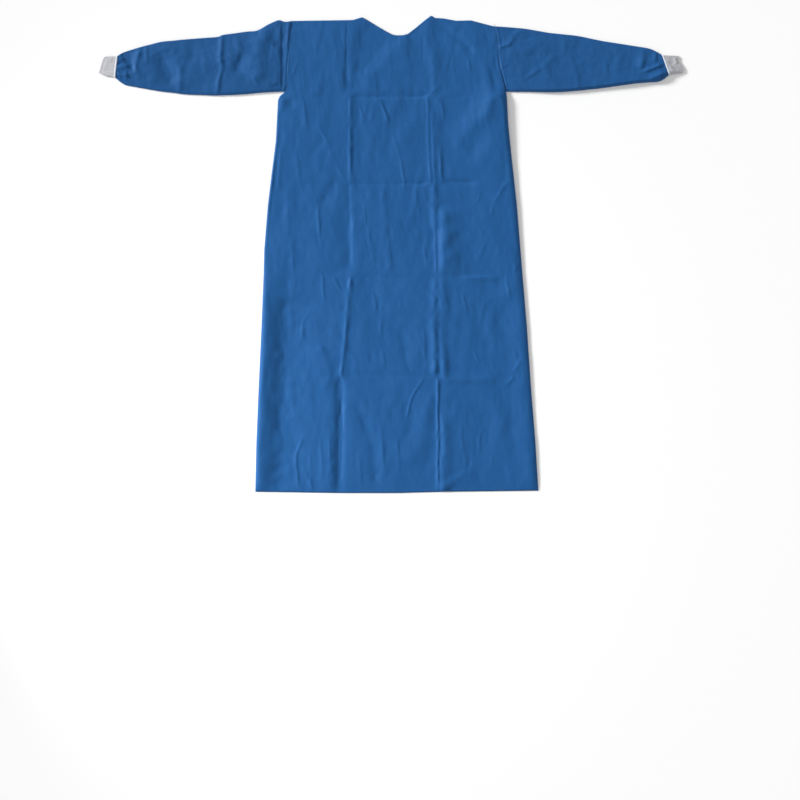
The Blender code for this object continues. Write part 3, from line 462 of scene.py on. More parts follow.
def rib_knit(name):
    """Rib knit: rows of small V-shaped loops along each rib, in soft fuzzy yarn."""
    finish = Finish(name, Specular_IOR_Level=0.2, Sheen_Weight=0.25, Sheen_Roughness=0.6)
    lie = finish.add("ShaderNodeAttribute", {"attribute_name": "lie"}, output=1)
    along, across = axes(finish, lie)
    wale = 2 * np.pi / WALE_PITCH
    course = 2 * np.pi / COURSE_PITCH
    slant = (across * (wale * 0.5)).cosine().size() * 2.0
    loops = (along * course + slant).cosine() * 0.5 + 0.5
    columns = (across * wale).cosine() * 0.5 + 0.5
    places = finish.add("ShaderNodeTexCoord", output=3)
    fuzz = finish.noise(places, 1400.0, detail=3.0)
    clouds = finish.noise(places, 60.0, detail=3.0)
    share = (loops * 0.30 + columns * 0.25 + clouds * 0.6 + fuzz * 0.25 - 0.22).clamped()
    shadow = tuple(0.80 * part for part in KNIT_WHITE)
    lit = tuple(min(1.0, 1.12 * part) for part in KNIT_WHITE)
    colour = finish.mixed(share, shadow, lit)
    height = loops * 0.8 + columns * 0.8 + fuzz * 0.5
    return finish.coat(colour, 0.82 + fuzz * 0.1, height, KNIT_DEPTH)


def tie_cloth(name):
    """The same nonwoven folded into a strap, with a line of stitches beside its open edge."""
    finish = Finish(name, Specular_IOR_Level=0.16, Sheen_Weight=0.03, Sheen_Roughness=0.45)
    lie = finish.add("ShaderNodeAttribute", {"attribute_name": "lie"}, output=1)
    along, across = axes(finish, lie)
    places = finish.add("ShaderNodeTexCoord", output=3)
    turns = [2 * np.pi / pitch for pitch in BOND_PITCH]
    dots = ((along * turns[1]).cosine() * (across * turns[0]).cosine() * 3.0 - 1.5).clamped()
    fibres = finish.noise(places, 900.0, stretch=(1, 3.0, 1), turn=0.5, detail=3.0)
    web = finish.noise(places, 90.0, detail=4.0)
    stitched = (1.0 - ((across - TIE_WIDTH * TIE_SEAM_AT) * TIE_SEAM_SHARPNESS).size()).clamped()
    gaps = ((along * (2 * np.pi / TIE_STITCH_PITCH)).cosine() * 4.0 + 2.6).clamped()
    stitches = stitched * gaps
    share = (web * 0.8 + fibres * 0.3 - dots * 0.2 - 0.05).clamped()
    cloth = finish.mixed(share, TIE_BLUE, CLOTH_PALE)
    colour = finish.mixed(stitches * 0.55, cloth, THREAD_PALE)
    height = web * 1.2 + fibres * 0.6 - dots * 0.8 + stitches * 2.0 - stitched * (1.0 - gaps) * 1.5
    return finish.coat(colour, 0.60 - dots * 0.15, height, WEB_DEPTH)


def thread(name, colour):
    """Spun sewing thread: fine slanting twist and slight fuzz."""
    finish = Finish(name, Specular_IOR_Level=0.3, Sheen_Weight=0.2)
    places = finish.add("ShaderNodeTexCoord", output=3)
    x, y = axes(finish, places)
    twist = ((x + y) * (2 * np.pi / TWIST_PITCH)).cosine() * 0.5 + 0.5
    fuzz = finish.noise(places, 2500.0)
    shade = tuple(0.72 * part for part in colour)
    shown = finish.mixed((twist * 0.5 + fuzz * 0.6).clamped(), shade, colour)
    return finish.coat(shown, 0.55 + fuzz * 0.1, twist, THREAD_DEPTH)


def floor_paper(name):
    """Matt white studio paper with a barely visible tooth."""
    finish = Finish(name, Specular_IOR_Level=0.0)
    places = finish.add("ShaderNodeTexCoord", output=3)
    tooth = finish.noise(places, 400.0, detail=3.0)
    pale = tuple(1.01 * part for part in FLOOR_WHITE)
    return finish.coat(finish.mixed(tooth, FLOOR_WHITE, pale), 0.9, tooth, 0.00002)


def soft_steps(at, places, values, reach):
    """Straight lines through a table's points, their corners eased over a reach to each side."""
    weights = (1, 4, 6, 4, 1)
    total = sum(weight * np.interp(at + reach * (step - 2) / 2, places, values)
                for step, weight in enumerate(weights))
    return total / sum(weights)


SIDE_EASE = 0.004  # how far to each side the corners of an outline are eased
TOP_EASE = 0.003
HEM_EASE = 0.02
BACK_EDGE_EASE = 0.02
CUFF_END_EASE = 0.03  # a share of the way across the cuff


def side(height, which):
    """The x of a side edge or armhole seam at a height."""
    return soft_steps(height, SIDES["height"], SIDES[which], SIDE_EASE)


def top(x):
    """The height of the shoulder or neckline at an x."""
    return soft_steps(x, TOP["x"], TOP["height"], TOP_EASE)


def hem(x):
    """The height of the front's hem at an x."""
    return soft_steps(x, HEM["x"], HEM["height"], HEM_EASE)


def back_edge(height, which):
    """The x of a back panel's free centre-back edge at a height."""
    return soft_steps(height, BACK_EDGES["height"], BACK_EDGES[which], BACK_EDGE_EASE)


def smooth_curve(points, at):
    """A Catmull-Rom curve through a row of points, at places counted in points from the first."""
    points = np.asarray(points, dtype=float)
    padded = np.vstack([2 * points[0] - points[1], points, 2 * points[-1] - points[-2]])
    first = np.clip(np.floor(at).astype(int), 0, len(points) - 2)
    t = (at - first)[:, None]
    a, b, c, d = (padded[first + step] for step in range(4))
    return 0.5 * (2 * b + (c - a) * t + (2 * a - 5 * b + 4 * c - d) * t**2
                  + (3 * b - a - 3 * c + d) * t**3)


CURVE_STEPS = 40  # of a route's fine curve, for each of its points


def even_route(points, count):
    """A smooth curve through a route's points, at equal steps of its length."""
    dense = smooth_curve(points, np.linspace(0, len(points) - 1, CURVE_STEPS * len(points)))
    length = np.concatenate([[0], np.cumsum(np.linalg.norm(np.diff(dense, axis=0), axis=1))])
    steps = np.linspace(0, length[-1], count)
    return np.stack([np.interp(steps, length, dense[:, axis]) for axis in (0, 1)], axis=-1)


SPACING_STEPS = 8000  # of the fine line on which the places are counted


def spaced(start, end, pitch, fine_at, fine_pitch, reach):
    """Places from start to end, a pitch apart, and closer together beside each of fine_at.

    The number of places for each metre is 1 / pitch, and rises to 1 / fine_pitch in a flat bell
    around each fine place."""
    line = np.linspace(start, end, SPACING_STEPS)
    bells = np.max([np.exp(-((line - place) / reach) ** 4) for place in fine_at], axis=0)
    crowd = 1 / pitch + (1 / fine_pitch - 1 / pitch) * bells
    counted = np.concatenate([[0], np.cumsum((crowd[1:] + crowd[:-1]) / 2 * np.diff(line))])
    return np.interp(np.linspace(0, counted[-1], int(counted[-1]) + 1), counted, line)


LATTICE = 64  # cells of the uneven ground each way, before it repeats
LATTICE_SHIFT = (20.37, 11.71)  # in cells, which moves the lattice's lines off the middle of the hem

# Seeds of the uneven ground: folds use up to 2 above theirs, and crumpling up to 13 above
SEEDS = {
    "front folds": 70, "front crumpling": 1, "back folds": 80, "back creases": 83,
    "back crumpling": 21, "back curl": 31, "sleeve folds": 90, "sleeve crumpling": 60,
    "sleeve underside": 77,
}


def uneven(x, height, cell_x, cell_height, seed):
    """Soft uneven ground from -1 to 1: random heights on a lattice, joined by smooth steps."""
    rng = np.random.default_rng(seed)
    lattice = rng.uniform(-1, 1, (LATTICE, LATTICE))
    u, v = x / cell_x + LATTICE_SHIFT[0], height / cell_height + LATTICE_SHIFT[1]
    i, j = np.floor(u).astype(int), np.floor(v).astype(int)
    s, t = u - i, v - j
    s, t = s * s * (3 - 2 * s), t * t * (3 - 2 * t)
    corner = [[lattice[(i + a) % LATTICE, (j + b) % LATTICE] for b in (0, 1)] for a in (0, 1)]
    low = corner[0][0] * (1 - s) + corner[1][0] * s
    high = corner[0][1] * (1 - s) + corner[1][1] * s
    return low * (1 - t) + high * t


def eased(share):
    """A smooth step from 0 to 1."""
    share = np.clip(share, 0, 1)
    return share * share * (3 - 2 * share)


LAMP_SIDE = (0.92, 0.39)  # how far the light travels to the right and down, as seen from above
TINY = 1e-9  # gives a line that runs along the light a side away from it too
FADE_SHARE = 0.2  # the share of a fold's length over which each end fades, within the limits
FADE_LIMITS = (0.003, 0.012)
WANDER = (0.0009, 0.0010)  # how far a fold's line strays in x and in height
WANDER_CELLS = (0.030, 0.021)
RISE_CHANGE = 0.35  # how much a fold's rise comes and goes
RISE_CELLS = (0.026, 0.018)


def off_line(x, height, x0, y0, x1, y1):
    """How far each point is off a line, above 0 on the side away from the lamp, and how far along."""
    run, climb = x1 - x0, y1 - y0
    length = np.hypot(run, climb)
    away = np.sign(climb * LAMP_SIDE[0] + run * LAMP_SIDE[1] + TINY)
    off = ((x - x0) * climb - (height - y0) * run) / length * away
    return off, ((x - x0) * run + (height - y0) * climb) / length, length


def fold_rise(x, height, folds):
    """The height of a table's folds.

    Each is its rise, times a bell of the distance off its line, which has a width of its own on
    each side, times a smooth step at each end of the line."""
    total = np.zeros_like(x)
    for x0, y0, x1, y1, rise, near, far in folds:
        off, along, length = off_line(x, height, x0, y0, x1, y1)
        fade = np.clip(FADE_SHARE * length, *FADE_LIMITS)
        ends = eased((along / fade + 1) / 2) * eased(((length - along) / fade + 1) / 2)
        total += rise * np.exp(-(off / np.where(off > 0, far, near)) ** 2) * ends
    return total


def creased(x, height, folds, seed):
    """The folds of a table on slightly wandering lines, with a rise that comes and goes along them."""
    bent_x = x + WANDER[0] * uneven(x, height, *WANDER_CELLS, seed)
    bent_height = height + WANDER[1] * uneven(x, height, *WANDER_CELLS[::-1], seed + 1)
    change = 1 + RISE_CHANGE * uneven(x, height, *RISE_CELLS, seed + 2)
    return fold_rise(bent_x, bent_height, folds) * change


CRUMPLES = table("cell_x cell_height turn rise soft", (
    (0.017, 0.046, 0.16, -0.00070, 0.12), (0.029, 0.075, -0.22, 0.00105, 0.35),
    (0.010, 0.026, 0.30, 0.00036, 0.06), (0.060, 0.120, 0.10, -0.00260, 0.45),
))
FACET_WANDER = 0.6  # how far the facets' axes stray, in cells
FACET_WANDER_CELL = 1.9  # over how many cells they do so
GROUND_SEED = 10  # the facets' own seeds are this far from those of their axes


def crumpled(x, height, seed, stretch=1.0):
    """Cloth that was folded small: flat facets which meet in sharp lines, in four sizes.

    Each size is the magnitude of soft uneven ground, rounded off near its zero lines, on axes that
    are turned and wander."""
    total = np.zeros_like(x)
    for step, (cell_x, cell_height, turn, rise, soft) in enumerate(zip(*CRUMPLES.values())):
        across = x * np.cos(turn) + height * np.sin(turn)
        along = (height * np.cos(turn) - x * np.sin(turn)) * stretch
        stray = uneven(across, along, FACET_WANDER_CELL * cell_x, cell_height, seed + step)
        across = across + FACET_WANDER * cell_x * stray
        ground = uneven(across, along, cell_x, cell_height, seed + GROUND_SEED + step)
        total += rise * np.sqrt(ground**2 + soft**2)
    return total


def rounded(distance, radius):
    """A quarter circle: 0 at an edge, 1 a radius inside it."""
    inside = 1 - np.clip(distance / radius, 0, 1)
    return np.sqrt(1 - inside**2)


def rise_from_edge(distance, reach):
    """A rise from 0 at an edge to nearly 1 some reaches inside it: 1 less a falling exponential."""
    return 1 - np.exp(-np.maximum(distance, 0) / reach)


FRONT_LOFT = 0.0026
LOFT_REACH = 0.026  # how far in from the edges the loft rises
RELIEF_REACH = 0.004  # how far in the creases do
FRONT_LOWEST = 0.0011  # a crease goes no deeper than this, as the back panels lie below

# How high the folded side edges puff up
SIDE_FOLDS = table("height right left", (
    (0.000, 0.0150, 0.0064), (0.250, 0.0154, 0.0069), (0.420, 0.0150, 0.0072),
    (0.490, 0.0136, 0.0072), (0.560, 0.0066, 0.0072), (0.640, 0.0040, 0.0076),
    (0.800, 0.0038, 0.0086), (0.950, 0.0034, 0.0110), (1.0000, 0.0032, 0.0094),
    (1.030, 0.0030, 0.0045), (1.186, 0.0027, 0.0027),
))

# How far in they reach that height
SIDE_REACH = table("height right left", (
    (0.000, 0.017, 0.022), (0.450, 0.015, 0.022), (0.600, 0.006, 0.018), (0.800, 0.006, 0.013),
    (1.186, 0.006, 0.013),
))

# How far in the puff has died out
SIDE_FALL = table("height right left", (
    (0.000, 0.068, 0.060), (0.450, 0.066, 0.060), (0.650, 0.060, 0.150), (1.186, 0.060, 0.150),
))

PUFF_ROUNDNESS = 0.6  # below 1 the folded edges stand up steeper and are flatter on top
RIGHT_FALL_POWER = 1.2  # above 1 the right edge's puff falls steeper at first
PUFF_FROM_HEM = 0.012  # how far up from the hem the puff rises


def by_side(x, height, values):
    """The values of a table at each height, from the column of the nearer side."""
    right, left = (np.interp(height, values["height"], values[which]) for which in ("right", "left"))
    return np.where(x < 0, right, left)


SEAM_GROOVE = (0.0007, 0.0010)  # depth and half width of the line between the front and a sleeve
SEAM_RIDGE = {"right": 0.0002, "left": -0.0003}
SEAM_SWELL = {"right": 0.0007, "left": 0.0006}  # how much a sleeve puffs up just beyond its seam
RIDGE_WIDTH = 0.0035
RIDGE_START = 0.010  # how far up from the underarm a seam's ridge reaches its full height
RIDGE_END = 0.006  # how far below the shoulder it begins to die out
TOP_ROLL = 0.0026  # radius of the rolled edge at the shoulders and the neckline
NECK_LOW = 0.0020  # height of the neckline's edge
HEM_ROLL = 0.0035
HEM_LOW = 0.0012  # height of the hem's edge
CORNER = 0.004  # the hem isn't rolled this close to the side folds


def front_face(x, height):
    """The z of the front's outer face.

    It is the fold at its edges, plus the loft, the creases and the crumpling, which all die out
    towards the edges, the puff of the two side folds, and a ridge along each armhole seam. No
    crease or facet takes it below its lowest level."""
    body = height < UNDERARM
    above = np.maximum(height - UNDERARM, 0)
    from_right = np.hypot(x - side(height, "right"), above)
    from_left = np.hypot(side(height, "left") - x, above)
    from_top, from_hem = top(x) - height, height - hem(x)
    edges = (from_right, from_left, from_top, from_hem)
    loft = FRONT_LOFT * np.prod([rise_from_edge(d, LOFT_REACH) for d in edges], axis=0)
    inside = np.prod([rise_from_edge(d, RELIEF_REACH) for d in edges], axis=0)
    relief = creased(x, height, FRONT_FOLDS, SEEDS["front folds"])
    relief = relief + crumpled(x, height, SEEDS["front crumpling"])
    from_sides = (x - side(height, "right"), side(height, "left") - x)
    side_distance = np.minimum(*from_sides)
    reach = by_side(x, height, SIDE_REACH)
    rolled = rounded(side_distance, np.where(body, reach, SEAM_GROOVE[1]))
    puffed = rounded(side_distance, reach) ** PUFF_ROUNDNESS
    fallen = np.clip(side_distance / by_side(x, height, SIDE_FALL), 0, 1)
    puffed *= np.where(x < 0, (1 - fallen) ** RIGHT_FALL_POWER, 1 - eased(fallen))
    puff = by_side(x, height, SIDE_FOLDS) - FOLD_TOP
    loft += puff * puffed * rise_from_edge(from_hem, PUFF_FROM_HEM)
    for distance, which in zip(from_sides, ("right", "left")):
        ridge = SEAM_RIDGE[which] * np.exp(-(distance / RIDGE_WIDTH) ** 2)
        loft += ridge * eased((height - UNDERARM) / RIDGE_START) * rounded(from_top, RIDGE_END)
    low = np.where(body, EDGE_LOW, FOLD_TOP - SEAM_GROOVE[0])
    shoulder = (x < NECK[0]) | (x > NECK[1])
    rolled_top = rounded(from_top, TOP_ROLL)
    z = low + (FOLD_TOP - low) * rolled
    top_low = np.where(shoulder, EDGE_LOW, NECK_LOW)
    z = top_low + (z - top_low) * rolled_top
    z = HEM_LOW + (z - HEM_LOW) * np.where(side_distance < CORNER, 1.0, rounded(from_hem, HEM_ROLL))
    return np.maximum(z + loft + inside * relief, np.minimum(z + loft, FRONT_LOWEST))


FRONT_COLUMNS = 212
COUNTED_PLACES = 1100  # of each row, on which its columns are counted
CROWDING = 2.4
EDGE_CROWDING = 0.009  # how far in from a side edge the columns are closer together
ROW_SMOOTHINGS = 4
FOLD_CROWDING = 0.0065  # how far off a narrow fold they are closer together
FOLD_END_CROWDING = 0.010  # and how far past its ends
NARROW_FOLD = 0.0058
STEEP_FOLDS = FRONT_FOLDS[np.abs(FRONT_FOLDS[:, 3] - FRONT_FOLDS[:, 1])
                          > np.abs(FRONT_FOLDS[:, 2] - FRONT_FOLDS[:, 0])]
NARROW_FOLDS = STEEP_FOLDS[STEEP_FOLDS[:, 5:].min(axis=1) < NARROW_FOLD]


def near_folds(x, height):
    """How close each point is to a narrow fold: a bell of the distance off the nearest one."""
    closest = np.zeros_like(x)
    for x0, y0, x1, y1 in NARROW_FOLDS[:, :4]:
        off, along, length = off_line(x, height, x0, y0, x1, y1)
        past = np.maximum(np.abs(along - length / 2) - length / 2, 0)
        bell = np.exp(-(off / FOLD_CROWDING) ** 2 - (past / FOLD_END_CROWDING) ** 2)
        closest = np.maximum(closest, bell)
    return closest


def crowded(low, high, heights):
    """The x of each row's points, closer together beside the narrow folds and both edges.

    The number of points for each metre is even, times 1 plus CROWDING of how close a fold is, and
    the columns are smoothed over three rows, four times."""
    share = np.linspace(0, 1, COUNTED_PLACES)
    x = low[:, None] + share * (high - low)[:, None]
    height = np.broadcast_to(heights[:, None], x.shape)
    edges = np.exp(-(np.minimum(x - low[:, None], high[:, None] - x) / EDGE_CROWDING) ** 2)
    crowd = 1 + CROWDING * np.maximum(edges, near_folds(x, height))
    steps = (crowd[:, 1:] + crowd[:, :-1]) / 2
    counted = np.concatenate([np.zeros((len(x), 1)), np.cumsum(steps, axis=1)], axis=1)
    counted /= counted[:, -1:]
    places = np.linspace(0, 1, FRONT_COLUMNS)
    shares = np.array([np.interp(places, row, share) for row in counted])
    for _ in range(ROW_SMOOTHINGS):
        shares[1:-1] = (shares[:-2] + 2 * shares[1:-1] + shares[2:]) / 4
    return low[:, None] + shares * (high - low)[:, None]


def front_points():
    """The grid of the front's outer face, row by row from the hem to the shoulders and neckline.

    Each row runs from one side edge to the other. Above the yoke the rows close up to the top."""
    rows = spaced(0.0, YOKE, pitch=0.0063, fine_at=[0.0, *CROSS_LEVELS], fine_pitch=0.0028, reach=0.008)
    shares = spaced(0.0, 1.0, pitch=0.075, fine_at=[1.0], fine_pitch=0.02, reach=0.08)[1:]
    ends = [YOKE + shares * (TOP["height"][corner] - YOKE) for corner in (0, -1)]
    right_levels, left_levels = (np.concatenate([rows, end]) for end in ends)
    x = crowded(side(right_levels, "right"), side(left_levels, "left"), right_levels)
    body, yoke = x[:len(rows)], x[len(rows):]
    height = np.vstack([hem(body) * (1 - rows[:, None] / YOKE) + rows[:, None],
                        YOKE + shares[:, None] * (top(yoke) - YOKE)])
    return np.stack([x, height, front_face(x, height)], axis=-1)


TIE_PLACES = 90  # along each tie, from which distances are measured
STRAP_PLACES = 12


def tie_distance(x, height):
    """How far each point is from the nearest tie or strap."""
    routes = [even_route(route, TIE_PLACES) for route in TIES.values()]
    routes += [even_route(route, STRAP_PLACES) for route in STRAPS.values()]
    nearest = np.full(x.shape, np.inf)
    for place in np.vstack(routes):
        nearest = np.minimum(nearest, np.hypot(x - place[0], height - place[1]))
    return nearest


BACK_TUCK = 0.0007  # a back panel's side edge lies this far inside the front's rolled edge
BACK_TOP_TUCK = 0.0006  # and its top this far below the front's
BACK_REACH = 0.015  # how far in from its edges its folds rise
BACK_CREASE = 0.0004  # rise of its packing creases
BACK_CREASE_WIDTH = 0.004
BACK_CREASE_CELLS = (0.05, 1.0)  # over which they come and go
BACK_LOFT = 0.0009
CURL = 0.0009  # how much its free edge curls up
CURL_REACH = 0.012
CURL_EVEN = 0.6  # the part of the curl that is the same all along the edge
CURL_CELLS = (1.0, 0.07)
COVERED = 0.040  # how far off a tie the panel starts to be lifted over it
LIFT_SLOPE = 0.030  # and how much nearer it has its full lift


def back_points(which):
    """The grid of a back panel's outer face, which lies on the surface.

    Its width is shared out between the free centre-back edge and the side edge. Its folds and
    creases stand up off the surface, and it is lifted over the ties."""
    sign = 1 if which == "left" else -1
    shares = spaced(0.0, 1.0, pitch=0.0155, fine_at=[0.0, 1.0], fine_pitch=0.005, reach=0.03)
    fine_rows = [BACK_HEM, *CROSS_LEVELS]
    rows = spaced(BACK_HEM, YOKE, pitch=0.0062, fine_at=fine_rows, fine_pitch=0.0028, reach=0.008)
    closing = spaced(0.0, 1.0, pitch=0.09, fine_at=[1.0], fine_pitch=0.03, reach=0.1)[1:]
    side_top = TOP["height"][-1 if sign > 0 else 0]

    def row(height, share=0.0):
        start = (1 - share) * back_edge(height, which) + share * BACK_EDGES[which][-1]
        end = side(height + share * (side_top - YOKE), which) - BACK_TUCK * sign
        return start + shares * (end - start)

    x = np.array([row(level) for level in rows] + [row(YOKE, share) for share in closing])
    ceiling = top(row(YOKE, 1.0)) - BACK_TOP_TUCK
    height = np.array([np.full(len(shares), level) for level in rows]
                      + [YOKE + share * (ceiling - YOKE) for share in closing])
    free = sign * (x - back_edge(height, which))
    from_side = sign * (side(height, which) - x)
    edges = (from_side, top(x) - height, height - BACK_HEM)
    inside = np.prod([rise_from_edge(d, BACK_REACH) for d in edges], axis=0)
    relief = creased(x, height, BACK_FOLDS[which], SEEDS["back folds"])
    comes_and_goes = 1 + uneven(x, height, *BACK_CREASE_CELLS, SEEDS["back creases"])
    for level in CROSS_LEVELS:
        bell = np.exp(-((height - level) / BACK_CREASE_WIDTH) ** 2)
        relief += BACK_CREASE * bell * comes_and_goes
    relief += BACK_LOFT + crumpled(x, height, SEEDS["back crumpling"])
    waves = uneven(x * 0, height, *CURL_CELLS, SEEDS["back curl"])
    curl = CURL * np.exp(-free / CURL_REACH) * (CURL_EVEN + (1 - CURL_EVEN) * waves)
    lift = (TIE_THICKNESS + TIE_CLEAR) * eased((COVERED - tie_distance(x, height)) / LIFT_SLOPE)
    z = inside * (relief + curl) + lift
    points = np.stack([x, height, np.maximum(z, 0)], axis=-1)
    return points[:, ::-1] if sign > 0 else points


EVEN_PART = 0.35  # 1 spaces a ring's points evenly, and 0 as if they lay on a half circle


def ring_shares(over, under):
    """Shares of the way from the upper to the lower edge and back, closer beside the edges."""

    def closing_up(count):
        even = np.linspace(0, 1, count, endpoint=False)
        return EVEN_PART * even + (1 - EVEN_PART) / 2 * (1 - np.cos(np.pi * even))

    return np.concatenate([closing_up(over), 1 - closing_up(under)])


def flat_tube(sections, stations, over, under, outer, bow):
    """Rings of a flattened tube along its stations, counted in sections from the first.

    outer gives the z of the upper and lower face from x, height, the distances to the upper and
    lower edge, share across and station, and bow moves the x of a ring's points."""
    names = ("x_top", "top", "x_low", "low")
    edges = smooth_curve(np.stack([sections[name] for name in names], axis=-1), stations)
    x_top, y_top, x_low, y_low = (edges[:, index, None] for index in range(4))
    share = np.broadcast_to(ring_shares(over, under), (len(stations), over + under))
    station = np.broadcast_to(stations[:, None], share.shape)
    height = y_top + share * (y_low - y_top)
    x = bow(x_top + share * (x_low - x_top), height, share, station)
    upper = np.arange(over + under) < over
    z = outer(x, height, y_top - height, height - y_low, share, station, upper)
    return np.stack([x, height, z], axis=-1)


SLEEVE_LOFT = 0.0042
WRIST_LOFT = 0.0018

# How much the lower fold of a sleeve and cuff puffs up, by the distance from the centre line
LOW_FOLDS = {
    "right": table("x puff", (
        (0.280, 0.0030), (0.340, 0.0050), (0.400, 0.0045), (0.490, 0.0020), (0.620, 0.0012),
        (0.700, 0.0008), (0.730, 0.0004),
    )),
    "left": table("x puff", (
        (0.280, 0.0030), (0.320, 0.0045), (0.370, 0.0075), (0.510, 0.0086), (0.610, 0.0096),
        (0.660, 0.0075), (0.690, 0.0040), (0.725, 0.0008),
    )),
}
LOW_CLIMB = 0.0078  # how far in from that fold its puff is at its height
LOW_FALL = 0.040


def low_fold(x, from_low, which):
    """The puff of a sleeve's lower fold: steep at the fold, then a long fall towards the middle."""
    puff = np.interp(np.abs(x), LOW_FOLDS[which]["x"], LOW_FOLDS[which]["puff"])
    climb = np.sin(np.pi / 2 * np.clip(from_low / LOW_CLIMB, 0, 1))
    return puff * climb * np.exp(-np.maximum(from_low, 0) / LOW_FALL)


SLEEVE_RINGS = {"over": 96, "under": 44}  # points of each ring on its upper and its lower face
SLEEVE_TUCK = 0.0005  # how far a sleeve's first ring is tucked under the front
BOWED_SECTIONS = 3  # the sections over which a sleeve takes up the curve of its armhole seam
SLEEVE_FOLD = 0.0024  # radius of its two folded edges
WRIST_SECTIONS = 1.6  # the sections over which its loft falls to the wrist's
SLEEVE_REACH = 0.022  # how far in from its folds its loft rises
WRIST_REACH = 0.006
SEAM_REACH = 0.012  # and how far out from its armhole seam
SEAM_SHARE = 0.35  # what is left of the loft at that seam
WRIST_SHARE = 0.45  # what is left of the folds at the wrist
SLEEVE_CRUMPLE_STRETCH = 1.8  # a sleeve's facets are shorter than the front's by this factor
SWELL_AT = 0.0045  # how far out from the seam the sleeve swells most
SWELL_WIDTH = 0.0030
FOLD_REACH = 0.005  # how far in from its two folded edges its creases rise
FOLD_SEAM_REACH = 0.003  # and how far out from its armhole seam
SLEEVE_GROOVE = 0.0002  # how much deeper the line at that seam is on the sleeve's side
UNDER_LIFT = 0.0004  # how unevenly a sleeve's lower face lies
UNDER_CELL = 0.03
UNDER_REACH = 0.01


def sleeve_points(which):
    """The rings of a sleeve's outer face, from the armhole seam to the wrist.

    Its upper face is a rounded fold at each edge, plus the loft, the folds, the gathers and the
    crumpling; its lower face is flat on the surface between the two folds. The first ring is tucked
    just under the front's edge."""
    sections, folds = SLEEVES[which], SLEEVE_FOLDS[which]
    sign = 1 if which == "left" else -1
    last = len(sections["top"]) - 1
    stations = spaced(0.0, last, pitch=0.125, fine_at=[0.0, last], fine_pitch=0.05, reach=0.8)

    def bow(x, height, share, station):
        chord = sections["x_top"][0] + share * (sections["x_low"][0] - sections["x_top"][0])
        seam = side(height, which) - sign * SLEEVE_TUCK
        return x + (seam - chord) * np.clip(1 - station / BOWED_SECTIONS, 0, 1)

    def outer(x, height, from_top, from_low, share, station, upper):
        distance = np.minimum(from_top, from_low)
        from_seam = sign * (x - side(height, which))
        edge = rounded(distance, SLEEVE_FOLD)
        to_wrist = eased((last - station) / WRIST_SECTIONS)
        seam_rise = rise_from_edge(from_seam, SEAM_REACH)
        loft = SLEEVE_LOFT * rise_from_edge(distance, SLEEVE_REACH)
        loft = loft * (SEAM_SHARE + (1 - SEAM_SHARE) * seam_rise)
        loft = to_wrist * loft + (1 - to_wrist) * WRIST_LOFT * rise_from_edge(distance, WRIST_REACH)
        loft += low_fold(x, from_low, which) * seam_rise
        relief = creased(x, height, folds, SEEDS["sleeve folds"])
        relief += crumpled(x, height, SEEDS["sleeve crumpling"], SLEEVE_CRUMPLE_STRETCH)
        relief = (WRIST_SHARE + (1 - WRIST_SHARE) * to_wrist) * relief
        inside = rise_from_edge(distance, FOLD_REACH) * rise_from_edge(from_seam, FOLD_SEAM_REACH)
        sunk = 1 - rounded(from_seam + SLEEVE_TUCK, SEAM_GROOVE[1] + SLEEVE_TUCK)
        groove = (SEAM_GROOVE[0] + SLEEVE_GROOVE) * sunk
        ridge = SEAM_RIDGE[which] * np.exp(-(from_seam / RIDGE_WIDTH) ** 2)
        ridge = ridge * rise_from_edge(distance, RELIEF_REACH)
        ridge += SEAM_SWELL[which] * np.exp(-((from_seam - SWELL_AT) / SWELL_WIDTH) ** 2) * edge
        top_face = FOLD_MIDDLE + (FOLD_TOP - groove - FOLD_MIDDLE) * edge
        top_face = np.maximum(top_face + loft + ridge + inside * relief, FOLD_MIDDLE)
        flat = FOLD_MIDDLE * (1 - edge)
        under = 1 + uneven(x, height, UNDER_CELL, UNDER_CELL, SEEDS["sleeve underside"])
        lifted = UNDER_LIFT * under * rise_from_edge(distance, UNDER_REACH)
        return np.where(upper, top_face, flat + lifted)

    return flat_tube(sections, stations, SLEEVE_RINGS["over"], SLEEVE_RINGS["under"], outer, bow)


CUFF_FOLDS = {
    "right": fold_table((
        (-714, 1096, -720, 1084, 0.7, 5.0, 3.5), (-726, 1090, -734, 1062, 0.5, 5.0, 5.0),
        (-712, 1052, -738, 1056, 0.5, 4.0, 4.0), (-735, 1048, -750, 1052, 0.6, 3.0, 3.0),
    )),
    "left": fold_table((
        (698, 1092, 704, 1079, 1.6, 4.0, 2.6), (676, 1088, 694, 1060, 1.2, 7.0, 5.0),
        (692, 1076, 716, 1066, 1.1, 5.0, 4.0), (684, 1060, 712, 1056, 1.2, 5.0, 3.0),
    )),
}
CUFF_RINGS = 52
RIB_POINTS = (9, 7)  # points of each ring for every rib, on its upper and its lower face
RUFFLE = 0.0008  # how far the ribs ruffle the open end
CUFF_FOLD = 0.0026  # radius of a cuff's two folded edges
CUFF_LOFT = 0.0034
CUFF_THINNING = 0.5  # the part of its loft that is gone at its open end
RIB_FADE = 0.004  # how close to its folded edges the ribs fade
CUFF_UNDER = 0.0003  # height of its lower face
CUFF_END_ROLL = 0.0005  # how much its open end rolls up
CUFF_END_WIDTH = 0.35  # over how many sections it does


